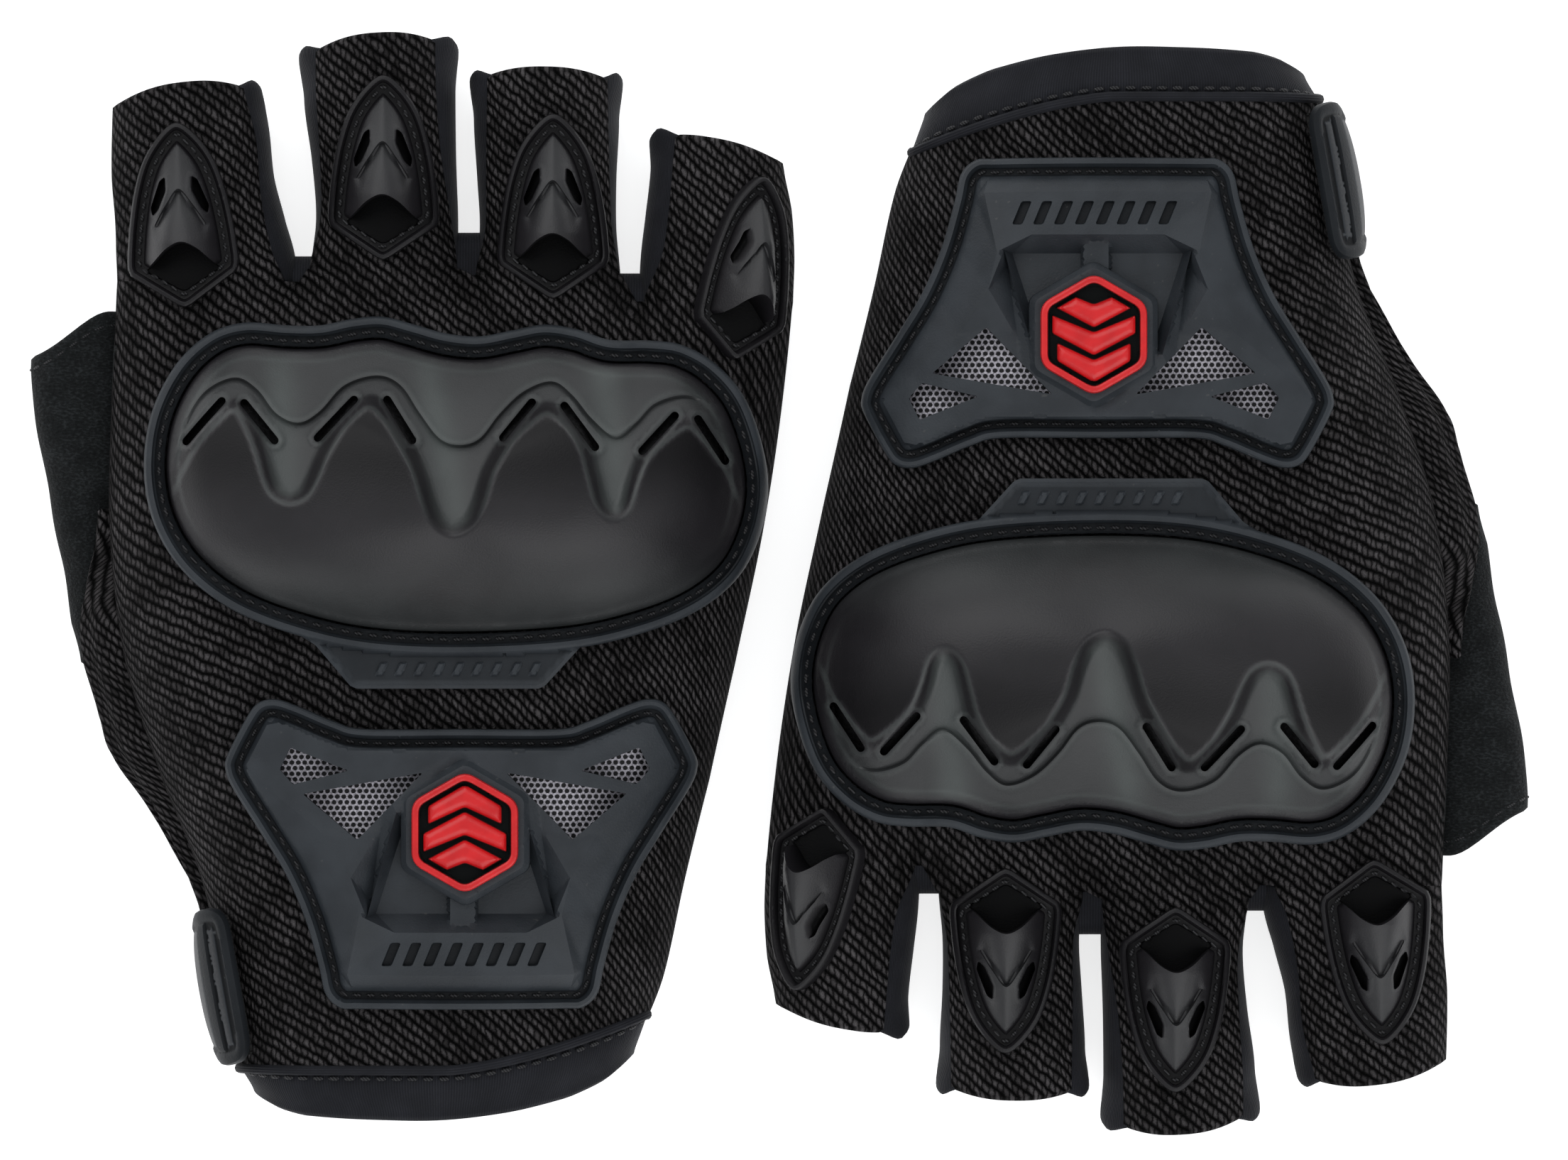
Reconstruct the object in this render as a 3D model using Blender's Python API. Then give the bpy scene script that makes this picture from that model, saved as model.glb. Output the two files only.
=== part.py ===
"""A pair of half-finger riding gloves lying palm down: knitted backs, suede palms, moulded
knuckle, wrist and finger guards, and a wrist strap with a peel-off tab.

Both gloves are the same hand. The second is the first turned half a turn about Z, so that
its fingers point the other way. Lengths below are in millimetres, in one glove's own frame:
+X across the hand towards the little finger, +Y towards the fingertips, +Z up off the palm.
make_object() turns them into metres.
"""

import bisect
import math

import bmesh
import bpy
from mathutils import Vector
from mathutils.bvhtree import BVHTree

MM = 0.001

# Driving dimensions.
PAIR_OFFSET = 55.7  # from the pair's centre to each glove's own origin, along X
FABRIC = 1.5  # wall of the knitted and suede panels
GAP = 0.4  # left between neighbouring pieces
LIFT = 0.8  # left under the moulded pieces that lie on the fabric
PALM_Z = 2.4  # underside of the palm panel; the pads below it reach the table
FINGER_Z = 0.6  # underside of the finger sleeves
SEAM_Z = 7.5  # height of the finger side seams
FLEX_Z = 4.0  # height of the finger flex axes, at the finger roots
FINGER_FLEX_CLEARANCE = 3.6  # how far the finger fronts stand off the palm panel
SECTION_POWER = 2.4  # exponent of the finger and thumb cross-sections

# Hand shell: y, left x, right x, crown z, left seam z, right seam z, left palm chamfer.
HAND = [
    (-74.0, -27.0, 33.0, 22.0, 9.0, 9.0, 8.0),
    (-60.0, -29.6, 38.0, 23.5, 9.0, 9.0, 8.0),
    (-45.0, -32.6, 41.3, 24.5, 9.5, 9.0, 9.0),
    (-30.0, -38.5, 45.0, 25.5, 11.0, 9.0, 12.0),
    (-12.0, -44.0, 49.0, 26.5, 13.5, 9.0, 13.0),
    (8.0, -46.3, 53.2, 26.5, 15.0, 9.0, 13.0),
    (28.0, -46.0, 56.2, 24.5, 15.0, 9.0, 13.0),
    (48.0, -45.2, 58.0, 21.0, 14.0, 8.0, 12.0),
]
LEFT_ROUND, RIGHT_ROUND = 16.0, 30.0  # how far in from each seam the back rounds over
PALM_ROUND = 9.0
PALM_FRONT = [(-46.0, 45.0), (-16.0, 47.0), (9.0, 46.0), (33.0, 44.0), (58.0, 42.0)]  # x, front y
HAND_ROWS = [37.0, 27.0, 8.0, -6.0, -22.0, -38.0, -56.0]
HUMP_SHARE = [0.5, 0.12, 0.0, 0.0, 0.0, 0.0, 0.0]  # how much of the finger humps each row keeps
ROOT_POINTS, PALM_POINTS = 24, 13  # points in each row of the back and palm panels
WEB_Z = 12.0  # how deep the back panel dips between the finger roots

# Fingers: root and tip y, crown z at root and tip, and the side edges at five stations.
FINGERS = {
    "index": dict(
        root=46.0, tip=(73.0, 76.0), bulge=1.8, crown=(19.5, 17.5),
        edges=[
            (46, -45.2, -18.6), (55, -45.6, -19.4), (62, -46.2, -21.2), (70, -46.2, -22.3),
            (77, -46.0, -24.0),
        ],
    ),
    "middle": dict(
        root=48.0, tip=(80.4, 81.6), bulge=2.2, crown=(20.0, 18.0),
        edges=[(48, -16.4, 6.9), (56, -15.2, 6.8), (65, -15.8, 6.3), (75, -17.0, 6.1), (84, -17.0, 6.3)],
    ),
    "ring": dict(
        root=47.0, tip=(76.3, 76.0), bulge=2.0, crown=(19.5, 17.5),
        edges=[(47, 8.9, 31.7), (54, 9.6, 31.1), (62, 9.2, 31.1), (70, 8.7, 31.5), (79, 8.7, 31.4)],
    ),
    "little": dict(
        root=43.0, tip=(67.6, 64.2), bulge=1.5, crown=(18.0, 15.5),
        edges=[(43, 33.9, 57.8), (50, 34.2, 58.0), (57, 35.0, 57.6), (62, 35.6, 56.6), (69, 36.0, 55.6)],
    ),
}

# Thumb sleeve sections: y, left x, right x, underside z, top z. It swings about THUMB_PIVOT.
THUMB = [
    (-6.0, -51.3, -43.2, 1.0, 10.0),
    (6.0, -54.4, -42.6, 0.8, 11.0),
    (20.0, -57.0, -42.2, 0.8, 12.0),
    (32.0, -58.6, -42.6, 0.8, 12.0),
    (42.0, -58.0, -44.0, 1.2, 11.5),
]
THUMB_TIP = (34.0, 41.2)
THUMB_PIVOT = (-51.6, -6.4)

# Thumb gusset: y, outer x. It closes the side of the hand below the thumb.
GUSSET = [(-47.0, -33.6), (-38.0, -38.4), (-30.0, -43.4), (-20.0, -48.0), (-8.0, -51.2)]
GUSSET_WALL, GUSSET_WIDEST_Z, GUSSET_TURN = 1.1, 6.0, 0.35

# Cuff: the hem line is straight from the thumb side and sweeps up at the far side.
HEM_Y, HEM_RISE, HEM_SWEEP_FROM, HEM_SWEEP = -74.0, 8.0, 5.0, 30.0
HEM_POWER = 1.5  # exponent of the hem's upward sweep
CUFF_WIDTH, CUFF_TAPER, WRIST_X, WRIST_Z = 6.4, 0.93, 4.0, 12.0
PALM_HEM_RISE = 3.5

# Knuckle guard: outer edge of its rim, as points on a smooth closed curve.
KNUCKLE_EDGE = [
    (-40.6, 17.0), (-39.6, 25.5), (-36.0, 33.0), (-31.0, 37.8), (-25.5, 39.6), (-19.0, 39.2),
    (-14.0, 39.2), (-9.0, 40.2), (-4.5, 40.5), (0.0, 39.4), (5.0, 38.0), (10.0, 37.5),
    (15.0, 38.4), (20.0, 39.3), (25.0, 38.6), (30.0, 37.0), (36.0, 36.9), (41.0, 36.2),
    (46.0, 33.4), (50.3, 28.5), (53.0, 21.5), (54.0, 14.5), (52.8, 7.5), (49.5, 1.0),
    (43.5, -4.0), (35.0, -7.5), (24.0, -9.9), (8.0, -10.8), (-6.0, -10.2), (-17.0, -7.9),
    (-27.0, -4.0), (-34.5, 1.8), (-39.0, 9.0),
]
RIM_BEAD, RIM_BEAD_H, RIM_CHANNEL_H, RIM_WIDTH = 1.7, 2.7, 1.7, 3.2
SHELL_WALL, SHELL_FOOT, SHELL_HEIGHT, KNUCKLE_SAMPLES = 2.0, 1.0, 15.0, 44
FOAM_INSET = 5.0  # from the shell's inner wall to the foam
HOLLOW_SHARE, FOAM_SHARE = 0.86, 0.5  # of the shell's height that its hollow and its foam fill
ROUNDNESS = 2.6  # exponent of the shell's rounding towards its edge
END_COLUMN = 0.985  # how near the shell's ends its first and last columns are
# Front line of the four knuckle humps, x and y: apexes between troughs.
ARCHES = [
    (-39.0, 12.0), (-33.5, 24.0), (-27.0, 29.0), (-21.5, 24.0), (-17.5, 12.5), (-13.0, 24.0), (-6.5, 29.5),
    (-0.5, 24.0), (5.5, 8.0), (13.5, 22.0), (20.5, 28.5), (27.0, 22.0), (31.0, 10.5), (35.0, 20.5),
    (41.5, 26.0), (47.0, 20.0), (52.0, 8.0),
]
ARCH_SOFT = 4.5  # width of the slope between a hump and the apron in front of it
APRON_EDGE, APRON_SLOPE, APRON_FRONT = 1.6, 0.36, 37.0
TAB_LEFT, TAB_RIGHT, TAB_BOTTOM, TAB_SLOPE = -15.0, 26.0, -15.9, 1.15

# Wrist plate, mirror-symmetric about PLATE_X. Its edge and windows are offsets from PLATE_X.
PLATE_X = 7.5
PLATE_HALF = [
    (14.5, -22.0), (19.0, -20.9), (24.5, -18.6), (28.0, -17.5), (30.6, -18.0), (32.4, -20.2),
    (35.4, -26.0), (35.7, -28.2), (34.6, -31.0), (30.6, -37.4), (26.6, -44.0), (23.6, -51.0),
    (21.6, -58.0), (20.6, -62.2), (18.4, -64.3), (15.0, -64.5), (11.0, -64.6),
]
PLATE_CENTRE = (7.5, -36.0)
PLATE_RIM_H, PLATE_CHANNEL_H, PLATE_UNDER, PLATE_TOP = 2.4, 1.6, 1.7, 3.3
WINDOWS = [
    [(9.0, -28.8), (24.8, -31.7), (16.8, -38.6)],
    [(26.5, -24.9), (28.5, -28.1), (26.0, -30.4), (18.0, -28.4)],
]
BADGE_RADIUS, BOSS_RADIUS, BOSS_HEIGHT, BADGE_CENTRE = 9.3, 10.6, 5.6, (8.0, -37.5)

# Finger guards: centre, turn about Z in degrees, and outline of the right half from the tip.
GUARDS = {
    "index": ((-35.3, 56.0), 3.0),
    "middle": ((-4.5, 63.2), 0.0),
    "ring": ((21.3, 57.3), 0.0),
    "little": ((51.0, 48.0), -9.0),
}
GUARD_HALF = [(2.6, 13.2), (5.3, 8.6), (7.5, 0.8), (8.5, -6.4), (8.5, -8.4), (2.4, -13.2)]
LITTLE_GUARD_SQUEEZE = 0.76  # the little finger's guard leans outward, so it looks narrower
GUARD_RIM_H, GUARD_PEAK_H, GUARD_TIP_H, GUARD_RIM_WIDTH = 1.6, 6.6, 3.0, 2.4

# Wrist strap: it runs along the hand's thumb-side edge, at STRAP_ANGLE to Y.
STRAP_CENTRE, STRAP_ANGLE, STRAP_HALF = (-29.7, -61.5), 10.0, 12.3
STRAP_PIVOT = (-1.8, 3.0)  # across and up from STRAP_CENTRE
TAB_PROFILE = [(-2.4, 3.4), (-3.9, 8.0), (-3.6, 13.0), (-2.0, 18.0), (1.8, 21.6)]
TAB_THICKNESS, HOOK_THICKNESS, LOOP_THICKNESS = 1.5, 0.5, 0.5

PROBE = 0.8  # reach when feeling for the fabric's height
PROBE_FROM = 60.0  # above everything
fabric_tree = []

# How finely the surfaces are divided.
CURVE_STEPS = 8  # between two points of a closed curve
SEAM_STEPS = 40  # across a hand row, before it is spaced evenly
BACK_COLUMNS, FRONT_COLUMNS, FINGER_ROWS = 7, 8, 3
THUMB_SIDES, THUMB_STATIONS = 14, [0.0, 0.3, 0.65, 1.0]
SHELL_COLUMNS, SHELL_ROWS, FOAM_COLUMNS, FOAM_ROWS = 30, 10, 16, 7
PLATE_RINGS = [0.97, 0.78, 0.58, 0.38, 0.18]  # sizes of the rings inside the plate's rim
NET_RINGS = [1.0, 0.78, 0.56, 0.34, 0.14]

# Finishes: colour, roughness and metallic.
KNIT = ((0.02, 0.02, 0.022), 0.9, 0.0)
SUEDE = ((0.02, 0.022, 0.022), 0.95, 0.0)
LYCRA = ((0.025, 0.026, 0.035), 0.7, 0.0)
SHELL = ((0.03, 0.032, 0.034), 0.35, 0.3)
GUARD = ((0.028, 0.031, 0.035), 0.4, 0.0)
RIM_RUBBER = ((0.018, 0.019, 0.021), 0.6, 0.0)
PLATE_RUBBER = ((0.028, 0.031, 0.035), 0.55, 0.0)
TAB_RUBBER = ((0.03, 0.033, 0.036), 0.5, 0.0)
FOAM = ((0.1, 0.1, 0.1), 0.95, 0.0)
NET = ((0.25, 0.24, 0.26), 0.8, 0.0)
RED = ((0.6, 0.01, 0.015), 0.4, 0.0)
WEBBING = ((0.02, 0.02, 0.02), 0.9, 0.0)
HOOK_TAPE = ((0.022, 0.022, 0.022), 0.9, 0.0)
LOOP_TAPE = ((0.015, 0.015, 0.015), 0.95, 0.0)
UNSEEN = ((0.5, 0.5, 0.5), 0.5, 0.0)  # for solids that only cut or join others


# Curves and sections.

def along(table, at):
    """The table's other columns at this value of its first column, on a smooth curve."""
    keys = [row[0] for row in table]
    i = min(max(bisect.bisect_right(keys, at) - 1, 0), len(keys) - 2)
    t = min(max((at - keys[i]) / (keys[i + 1] - keys[i]), 0.0), 1.0)
    rows = [table[max(i - 1, 0)], table[i], table[i + 1], table[min(i + 2, len(table) - 1)]]
    return [catmull(*values, t) for values in list(zip(*rows))[1:]]


def catmull(a, b, c, d, t):
    """The smooth curve's value at t between b and c."""
    return 0.5 * (2 * b + (c - a) * t + (2 * a - 5 * b + 4 * c - d) * t * t + (3 * b - a - 3 * c + d) * t**3)


def closed_curve(points, samples):
    """Evenly spaced points on the smooth closed curve through these."""
    n = len(points)
    dense = []
    for i in range(n):
        around = [points[(i + k - 1) % n] for k in range(4)]
        for j in range(CURVE_STEPS):
            dense.append(tuple(catmull(*values, j / CURVE_STEPS) for values in zip(*around)))
    return evenly(dense + dense[:1], samples + 1)[:-1]


def evenly(points, samples):
    """The polyline through these points, as this many points at equal spacing along it."""
    lengths = [0.0]
    for a, b in zip(points, points[1:]):
        lengths.append(lengths[-1] + math.dist(a, b))
    found = []
    for k in range(samples):
        target = lengths[-1] * k / (samples - 1)
        i = min(bisect.bisect_right(lengths, target) - 1, len(points) - 2)
        share = (target - lengths[i]) / max(lengths[i + 1] - lengths[i], 1e-9)
        found.append(tuple(a + (b - a) * share for a, b in zip(points[i], points[i + 1])))
    return found


def inset(loop, distance):
    """A counter-clockwise or clockwise closed 2D loop, moved inwards by this distance."""
    n = len(loop)
    turn = sum(loop[i][0] * loop[(i + 1) % n][1] - loop[(i + 1) % n][0] * loop[i][1] for i in range(n))
    side = 1.0 if turn > 0 else -1.0
    moved = []
    for i in range(n):
        before = Vector(loop[i]) - Vector(loop[i - 1])
        after = Vector(loop[(i + 1) % n]) - Vector(loop[i])
        across = before.normalized().orthogonal() + after.normalized().orthogonal()
        across.normalize()
        stretch = max(across.dot(before.normalized().orthogonal()), 0.5)
        moved.append(tuple(Vector(loop[i]) + across * side * distance / stretch))
    return moved


def toward(loop, centre, share):
    """The loop shrunk towards centre to this share of its size."""
    return [tuple(c + (p - c) * share for p, c in zip(point, centre)) for point in loop]


def rounded(depth):
    """A quarter circle's height at this share of its radius in from the edge."""
    return math.sqrt(max(1.0 - (1.0 - min(max(depth, 0.0), 1.0)) ** 2, 0.0))


def superellipse(angle):
    """Across and up, each from -1 to 1, at this angle round a finger's cross-section."""
    across, up = math.cos(angle), math.sin(angle)
    power = 2.0 / SECTION_POWER
    return math.copysign(abs(across) ** power, across), math.copysign(abs(up) ** power, up)


# The fabric's outer surface.

def back_z(x, y):
    """Height of the back of the hand."""
    left, right, crown, left_seam, right_seam, _ = along(HAND, y)
    share = min(max((x - left) / (right - left), 0.0), 1.0)
    seam = left_seam + (right_seam - left_seam) * share
    return seam + (crown - seam) * rounded((x - left) / LEFT_ROUND) * rounded((right - x) / RIGHT_ROUND)


def finger_crown(finger, y):
    """Height of the top of the sleeve at y."""
    root, tip = finger["crown"]
    share = (y - finger["root"]) / (finger["tip"][0] - finger["root"])
    return root + (tip - root) * min(max(share, 0.0), 1.0)


def finger_point(finger, angle, y):
    """A point of the sleeve at this angle, from 0 on the right over 90 at the crown."""
    left, right = along(finger["edges"], y)
    across, up = superellipse(angle)
    height = finger_crown(finger, y) - SEAM_Z if up > 0 else SEAM_Z - FINGER_Z
    return ((left + right) / 2 + across * (right - left) / 2, y, SEAM_Z + up * height)


def finger_end_y(finger, angle):
    """Where the sleeve's open end is cut at this angle: bulged at the crown."""
    left, right = finger["tip"]
    across, up = superellipse(angle)
    return (left + right) / 2 + across * (right - left) / 2 + finger["bulge"] * max(up, 0.0)


def measure_fabric(pieces):
    """Keeps the real, faceted surface of these pieces, for laying the moulded pieces on."""
    points, faces = [], []
    for piece in pieces:
        first = len(points)
        points += [vertex.co / MM for vertex in piece.data.vertices]
        piece.data.calc_loop_triangles()
        faces += [[first + i for i in face.vertices] for face in piece.data.loop_triangles]
    fabric_tree[:] = [BVHTree.FromPolygons(points, faces)]


def surface_z(x, y):
    """Height of the highest fabric within PROBE of this place."""
    found = []
    for dx, dy in ((0, 0), (PROBE, 0), (-PROBE, 0), (0, PROBE), (0, -PROBE)):
        hit = fabric_tree[0].ray_cast(Vector((x + dx, y + dy, PROBE_FROM)), Vector((0, 0, -1)))[0]
        if hit:
            found.append(hit.z)
    return max(found, default=SEAM_Z)


# Solids.

def make_object(name, bm, finish, joint):
    """A node from a bmesh in millimetres, parented to its joint's empty and coloured."""
    bmesh.ops.recalc_face_normals(bm, faces=bm.faces)
    bmesh.ops.scale(bm, vec=(MM, MM, MM), verts=bm.verts)
    mesh = bpy.data.meshes.new(name)
    bm.to_mesh(mesh)
    bm.free()
    mesh.shade_smooth()
    mesh.set_sharp_from_angle(angle=math.radians(40))
    mesh.materials.append(material(finish))
    obj = bpy.data.objects.new(name, mesh)
    bpy.context.scene.collection.objects.link(obj)
    obj.parent = joint
    obj.location = -Vector(joint["pivot_mm"]) * MM
    return obj


def material(finish):
    """The Principled material of this finish, made once."""
    colour, roughness, metallic = finish
    name = "finish_" + "_".join(f"{channel:.3f}" for channel in (*colour, roughness))
    found = bpy.data.materials.get(name)
    if found:
        return found
    made = bpy.data.materials.new(name)
    made.use_nodes = True
    shader = made.node_tree.nodes["Principled BSDF"]
    shader.inputs["Base Color"].default_value = (*colour, 1.0)
    shader.inputs["Roughness"].default_value = roughness
    shader.inputs["Metallic"].default_value = metallic
    return made


def skin(loops, wrap=False):
    """A closed surface through loops of equal length. With wrap it is a ring, else it is capped."""
    bm = bmesh.new()
    rows = [[bm.verts.new(p) for p in loop] for loop in loops]
    pairs = list(zip(rows, rows[1:]))
    if wrap:
        pairs.append((rows[-1], rows[0]))
    else:
        bm.faces.new(rows[0])
        bm.faces.new(rows[-1])
    for a, b in pairs:
        for i in range(len(a)):
            j = (i + 1) % len(a)
            bm.faces.new((a[i], a[j], b[j], b[i]))
    return bm


def slab_between(outer_rows, inner_rows):
    """A closed slab between two grids of points, with its edge walled."""
    bm = bmesh.new()
    outer = [[bm.verts.new(p) for p in row] for row in outer_rows]
    inner = [[bm.verts.new(p) for p in row] for row in inner_rows]
    height, width = len(outer), len(outer[0])
    for r in range(height - 1):
        for c in range(width - 1):
            bm.faces.new((outer[r][c], outer[r][c + 1], outer[r + 1][c + 1], outer[r + 1][c]))
            bm.faces.new((inner[r][c], inner[r + 1][c], inner[r + 1][c + 1], inner[r][c + 1]))
    edge = [(0, c) for c in range(width)] + [(r, width - 1) for r in range(1, height)]
    edge += [(height - 1, c) for c in range(width - 2, -1, -1)] + [(r, 0) for r in range(height - 2, 0, -1)]
    for (r, c), (s, d) in zip(edge, edge[1:] + edge[:1]):
        bm.faces.new((outer[r][c], inner[r][c], inner[s][d], outer[s][d]))
    return bm


def sheet(rows, thickness, inward, place=tuple):
    """A panel of this thickness whose outer face passes through rows of points.

    inward(point) gives the unit direction from the outer face to the inner one, and
    place(point) moves a finished point to where it is wanted."""
    outer = [[place(p) for p in row] for row in rows]
    inner = [[place(Vector(p) + Vector(inward(p)) * thickness) for p in row] for row in rows]
    return slab_between(outer, inner)


def draped(loop, height):
    """A 2D loop laid on the fabric and lifted by height, a number or a function of x and y."""
    lift = height if callable(height) else (lambda x, y: height)
    return [(x, y, surface_z(x, y) + lift(x, y)) for x, y in loop]


def cut(obj, cutter, operation="DIFFERENCE"):
    """Cuts the cutter from the object, or joins it on with UNION."""
    cutter.hide_render = True
    cutter.display_type = "WIRE"
    change = obj.modifiers.new(operation.lower(), "BOOLEAN")
    change.operation = operation
    change.object = cutter


# Fabric pieces.

def finger_angles(count, lower=False):
    """Angles from the left seam to the right one, over the back or under the front."""
    first, last = (180.0, 360.0) if lower else (180.0, 0.0)
    return [math.radians(first + (last - first) * k / count) for k in range(count + 1)]


def back_panel(joint, name):
    """The knitted back of the hand, from the finger roots to the hem."""
    per_finger = ROOT_POINTS // len(FINGERS) - 1
    root_row = []
    for finger in FINGERS.values():
        for angle in finger_angles(per_finger):
            x, y, z = finger_point(finger, angle, finger["root"])
            floor = WEB_Z
            if finger is FINGERS["index"] and angle > math.pi / 2:
                floor = along(HAND, y)[3] + GAP / 2
            if finger is FINGERS["little"] and angle < math.pi / 2:
                floor = along(HAND, y)[4] + GAP / 2
            root_row.append((x, y, max(z, floor)))
    rows = [root_row]
    for y, share in zip(HAND_ROWS + [HEM_Y], HUMP_SHARE + [0.0]):
        row = back_row(y, ROOT_POINTS)
        rows.append([tuple(a + (b - a) * share for a, b in zip(p, q)) for p, q in zip(row, root_row)])
    for row, y in zip(rows[1:3], HAND_ROWS):
        seam = back_row(y, ROOT_POINTS)
        row[:] = [seam[0]] + [(x, y, z) for x, _, z in row[1:-1]] + [seam[-1]]
    bm = sheet(rows, FABRIC, hand_inward, place=at_hem)
    return make_object(name, bm, KNIT, joint)


def at_hem(point, rise=0.0):
    """Moves a point of the last row to the curved hem."""
    x, y, z = point
    if y <= HEM_Y:
        sweep = max(x - HEM_SWEEP_FROM, 0.0) / HEM_SWEEP
        y = HEM_Y + HEM_RISE * sweep**HEM_POWER + rise * rounded(min(x + 27.0, 33.0 - x) / 20.0)
    return (x, y, z)


def at_palm_edge(point):
    """Moves a point of the palm's first or last row to its curved front edge or hem."""
    x, y, z = at_hem(point, PALM_HEM_RISE)
    return (x, along(PALM_FRONT, x)[0], z) if y >= HAND[-1][0] else (x, y, z)


def back_row(y, count):
    """One row of the back panel at y, from the left seam to the right seam."""
    left, right = along(HAND, y)[:2]
    points = []
    for k in range(SEAM_STEPS + 1):
        x = left + (right - left) * (1 - math.cos(math.pi * k / SEAM_STEPS)) / 2
        points.append((x, y, back_z(x, y) + (GAP / 2 if k in (0, SEAM_STEPS) else 0.0)))
    return evenly(points, count)


def hand_inward(point):
    """From the hand's outer face to its inner one: down from the back, sideways at the seams."""
    x, y, _ = point
    left, right = along(HAND, y)[:2]
    across = 0.0
    if x < left + LEFT_ROUND:
        across = (left + LEFT_ROUND - x) / LEFT_ROUND
    if x > right - RIGHT_ROUND / 2:
        across = -(x - right + RIGHT_ROUND / 2) / (RIGHT_ROUND / 2)
    down = -math.sqrt(max(1.0 - across * across, 0.0))
    return (across, 0.0, down)


def palm_z(x, y):
    """Height of the underside of the palm panel."""
    left, right, _, left_seam, right_seam, chamfer = along(HAND, y)
    thumb_side = max(1.0 - (x - left) / chamfer, 0.0) ** 1.2
    far_side = 1.0 - rounded((right - x) / PALM_ROUND)
    return PALM_Z + (left_seam - PALM_Z) * thumb_side + (right_seam - PALM_Z) * far_side


def thumb_hole(y):
    """How far the palm panel is cut back from the left seam, to let the thumb through."""
    return 9.5 * max(math.sin(math.pi * min(max((y + 46.0) / 54.0, 0.0), 1.0)), 0.0) ** 0.6


def palm_row(y):
    """One row of the palm panel at y, from the left seam or thumb cut to the right seam."""
    left, right = along(HAND, y)[:2]
    start = left + thumb_hole(y)
    shares = [(1 - math.cos(math.pi * k / SEAM_STEPS)) / 2 for k in range(SEAM_STEPS + 1)]
    across = [start + (right - start) * share for share in shares]
    row = evenly([(x, y, palm_z(x, y)) for x in across], PALM_POINTS)
    row[0] = (*row[0][:2], row[0][2] - GAP / 2)
    row[-1] = (*row[-1][:2], row[-1][2] - GAP / 2)
    return row


def palm_inward(point):
    """From the palm's outer face to its inner one: up from the palm, sideways at the seams."""
    x, y, _ = point
    left, right, _, _, _, chamfer = along(HAND, y)
    across = 0.0
    if x < left + chamfer:
        across = min((left + chamfer - x) / chamfer, 1.0)
    if x > right - PALM_ROUND:
        across = -min((x - right + PALM_ROUND) / PALM_ROUND, 1.0)
    return (across, 0.0, math.sqrt(1.0 - across * across))


def palm_panel(joint, name):
    """The suede palm, cut away beside the thumb gusset."""
    rows = [palm_row(y) for y in [HAND[-1][0], *HAND_ROWS, HEM_Y]]
    bm = sheet(rows, FABRIC, palm_inward, place=at_palm_edge)
    return make_object(name, bm, SUEDE, joint)


def cuff_band(joint, name):
    """The bound wrist opening: a flat ring sewn to the hem."""
    top = [at_hem(p) for p in back_row(HEM_Y, ROOT_POINTS)]
    under = [at_palm_edge(p) for p in palm_row(HEM_Y)[-2:0:-1]]
    hem = [(x, y - GAP, z) for x, y, z in top + under]
    centre = (WRIST_X, WRIST_Z)

    def shrunk(loop, drop, share, wall):
        """The loop moved down the wrist, to this share of its size, and in by wall."""
        made = []
        for x, y, z in loop:
            out = Vector((x - centre[0], z - centre[1]))
            out = out * share - out.normalized() * wall
            made.append((centre[0] + out.x, y - drop, centre[1] + out.y))
        return made

    loops = [
        hem,
        shrunk(hem, CUFF_WIDTH, CUFF_TAPER, 0.0),
        shrunk(hem, CUFF_WIDTH, CUFF_TAPER, FABRIC),
        shrunk(hem, 0.8, 1.0, FABRIC),
    ]
    return make_object(name, skin(loops, wrap=True), LYCRA, joint)


def finger_sleeve(joint, name, finger, lower):
    """Half of a finger sleeve: the knitted back, or the front with its side walls."""
    angles = finger_angles(FRONT_COLUMNS if lower else BACK_COLUMNS, lower)
    start = finger["root"] + (FINGER_FLEX_CLEARANCE if lower else GAP)
    rows = []
    for k in range(FINGER_ROWS + 1):
        row = []
        for angle in angles:
            y = start + (finger_end_y(finger, angle) - start) * k / FINGER_ROWS
            x, _, z = finger_point(finger, angle, y)
            if angle in (angles[0], angles[-1]):
                z += -GAP / 2 if lower else GAP / 2
            row.append((x, y, z))
        rows.append(row)

    def inward(point):
        """Sideways at the seams, straight through at the crown."""
        x, y, _ = point
        left, right = along(finger["edges"], y)
        u = (2 * x - left - right) / (right - left)
        across = -math.copysign(min(abs(u), 1.0) ** 3, u)
        up = math.sqrt(max(1.0 - across * across, 0.0))
        return (across, 0.0, up if lower else -up)

    return make_object(name, sheet(rows, FABRIC, inward), SUEDE if lower else KNIT, joint)


def thumb_sleeve(joint, name):
    """The suede thumb: an oval tube with a slanted open end."""
    angles = [2 * math.pi * k / THUMB_SIDES for k in range(THUMB_SIDES)]
    base = THUMB[0][0]

    def point(angle, share, wall):
        """A point of the tube this share of the way to its open end, and in by wall."""
        across, up = superellipse(angle)
        end = THUMB_TIP[0] + (THUMB_TIP[1] - THUMB_TIP[0]) * (across + 1) / 2
        y = base + (end - base) * share
        left, right, under, top = along(THUMB, y)
        return (
            (left + right) / 2 + across * ((right - left) / 2 - wall),
            y,
            (under + top) / 2 + up * ((top - under) / 2 - wall),
        )

    loops = [[point(a, s, 0.0) for a in angles] for s in THUMB_STATIONS]
    loops += [[point(a, s, FABRIC) for a in angles] for s in reversed(THUMB_STATIONS)]
    return make_object(name, skin(loops, wrap=True), SUEDE, joint)


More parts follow.
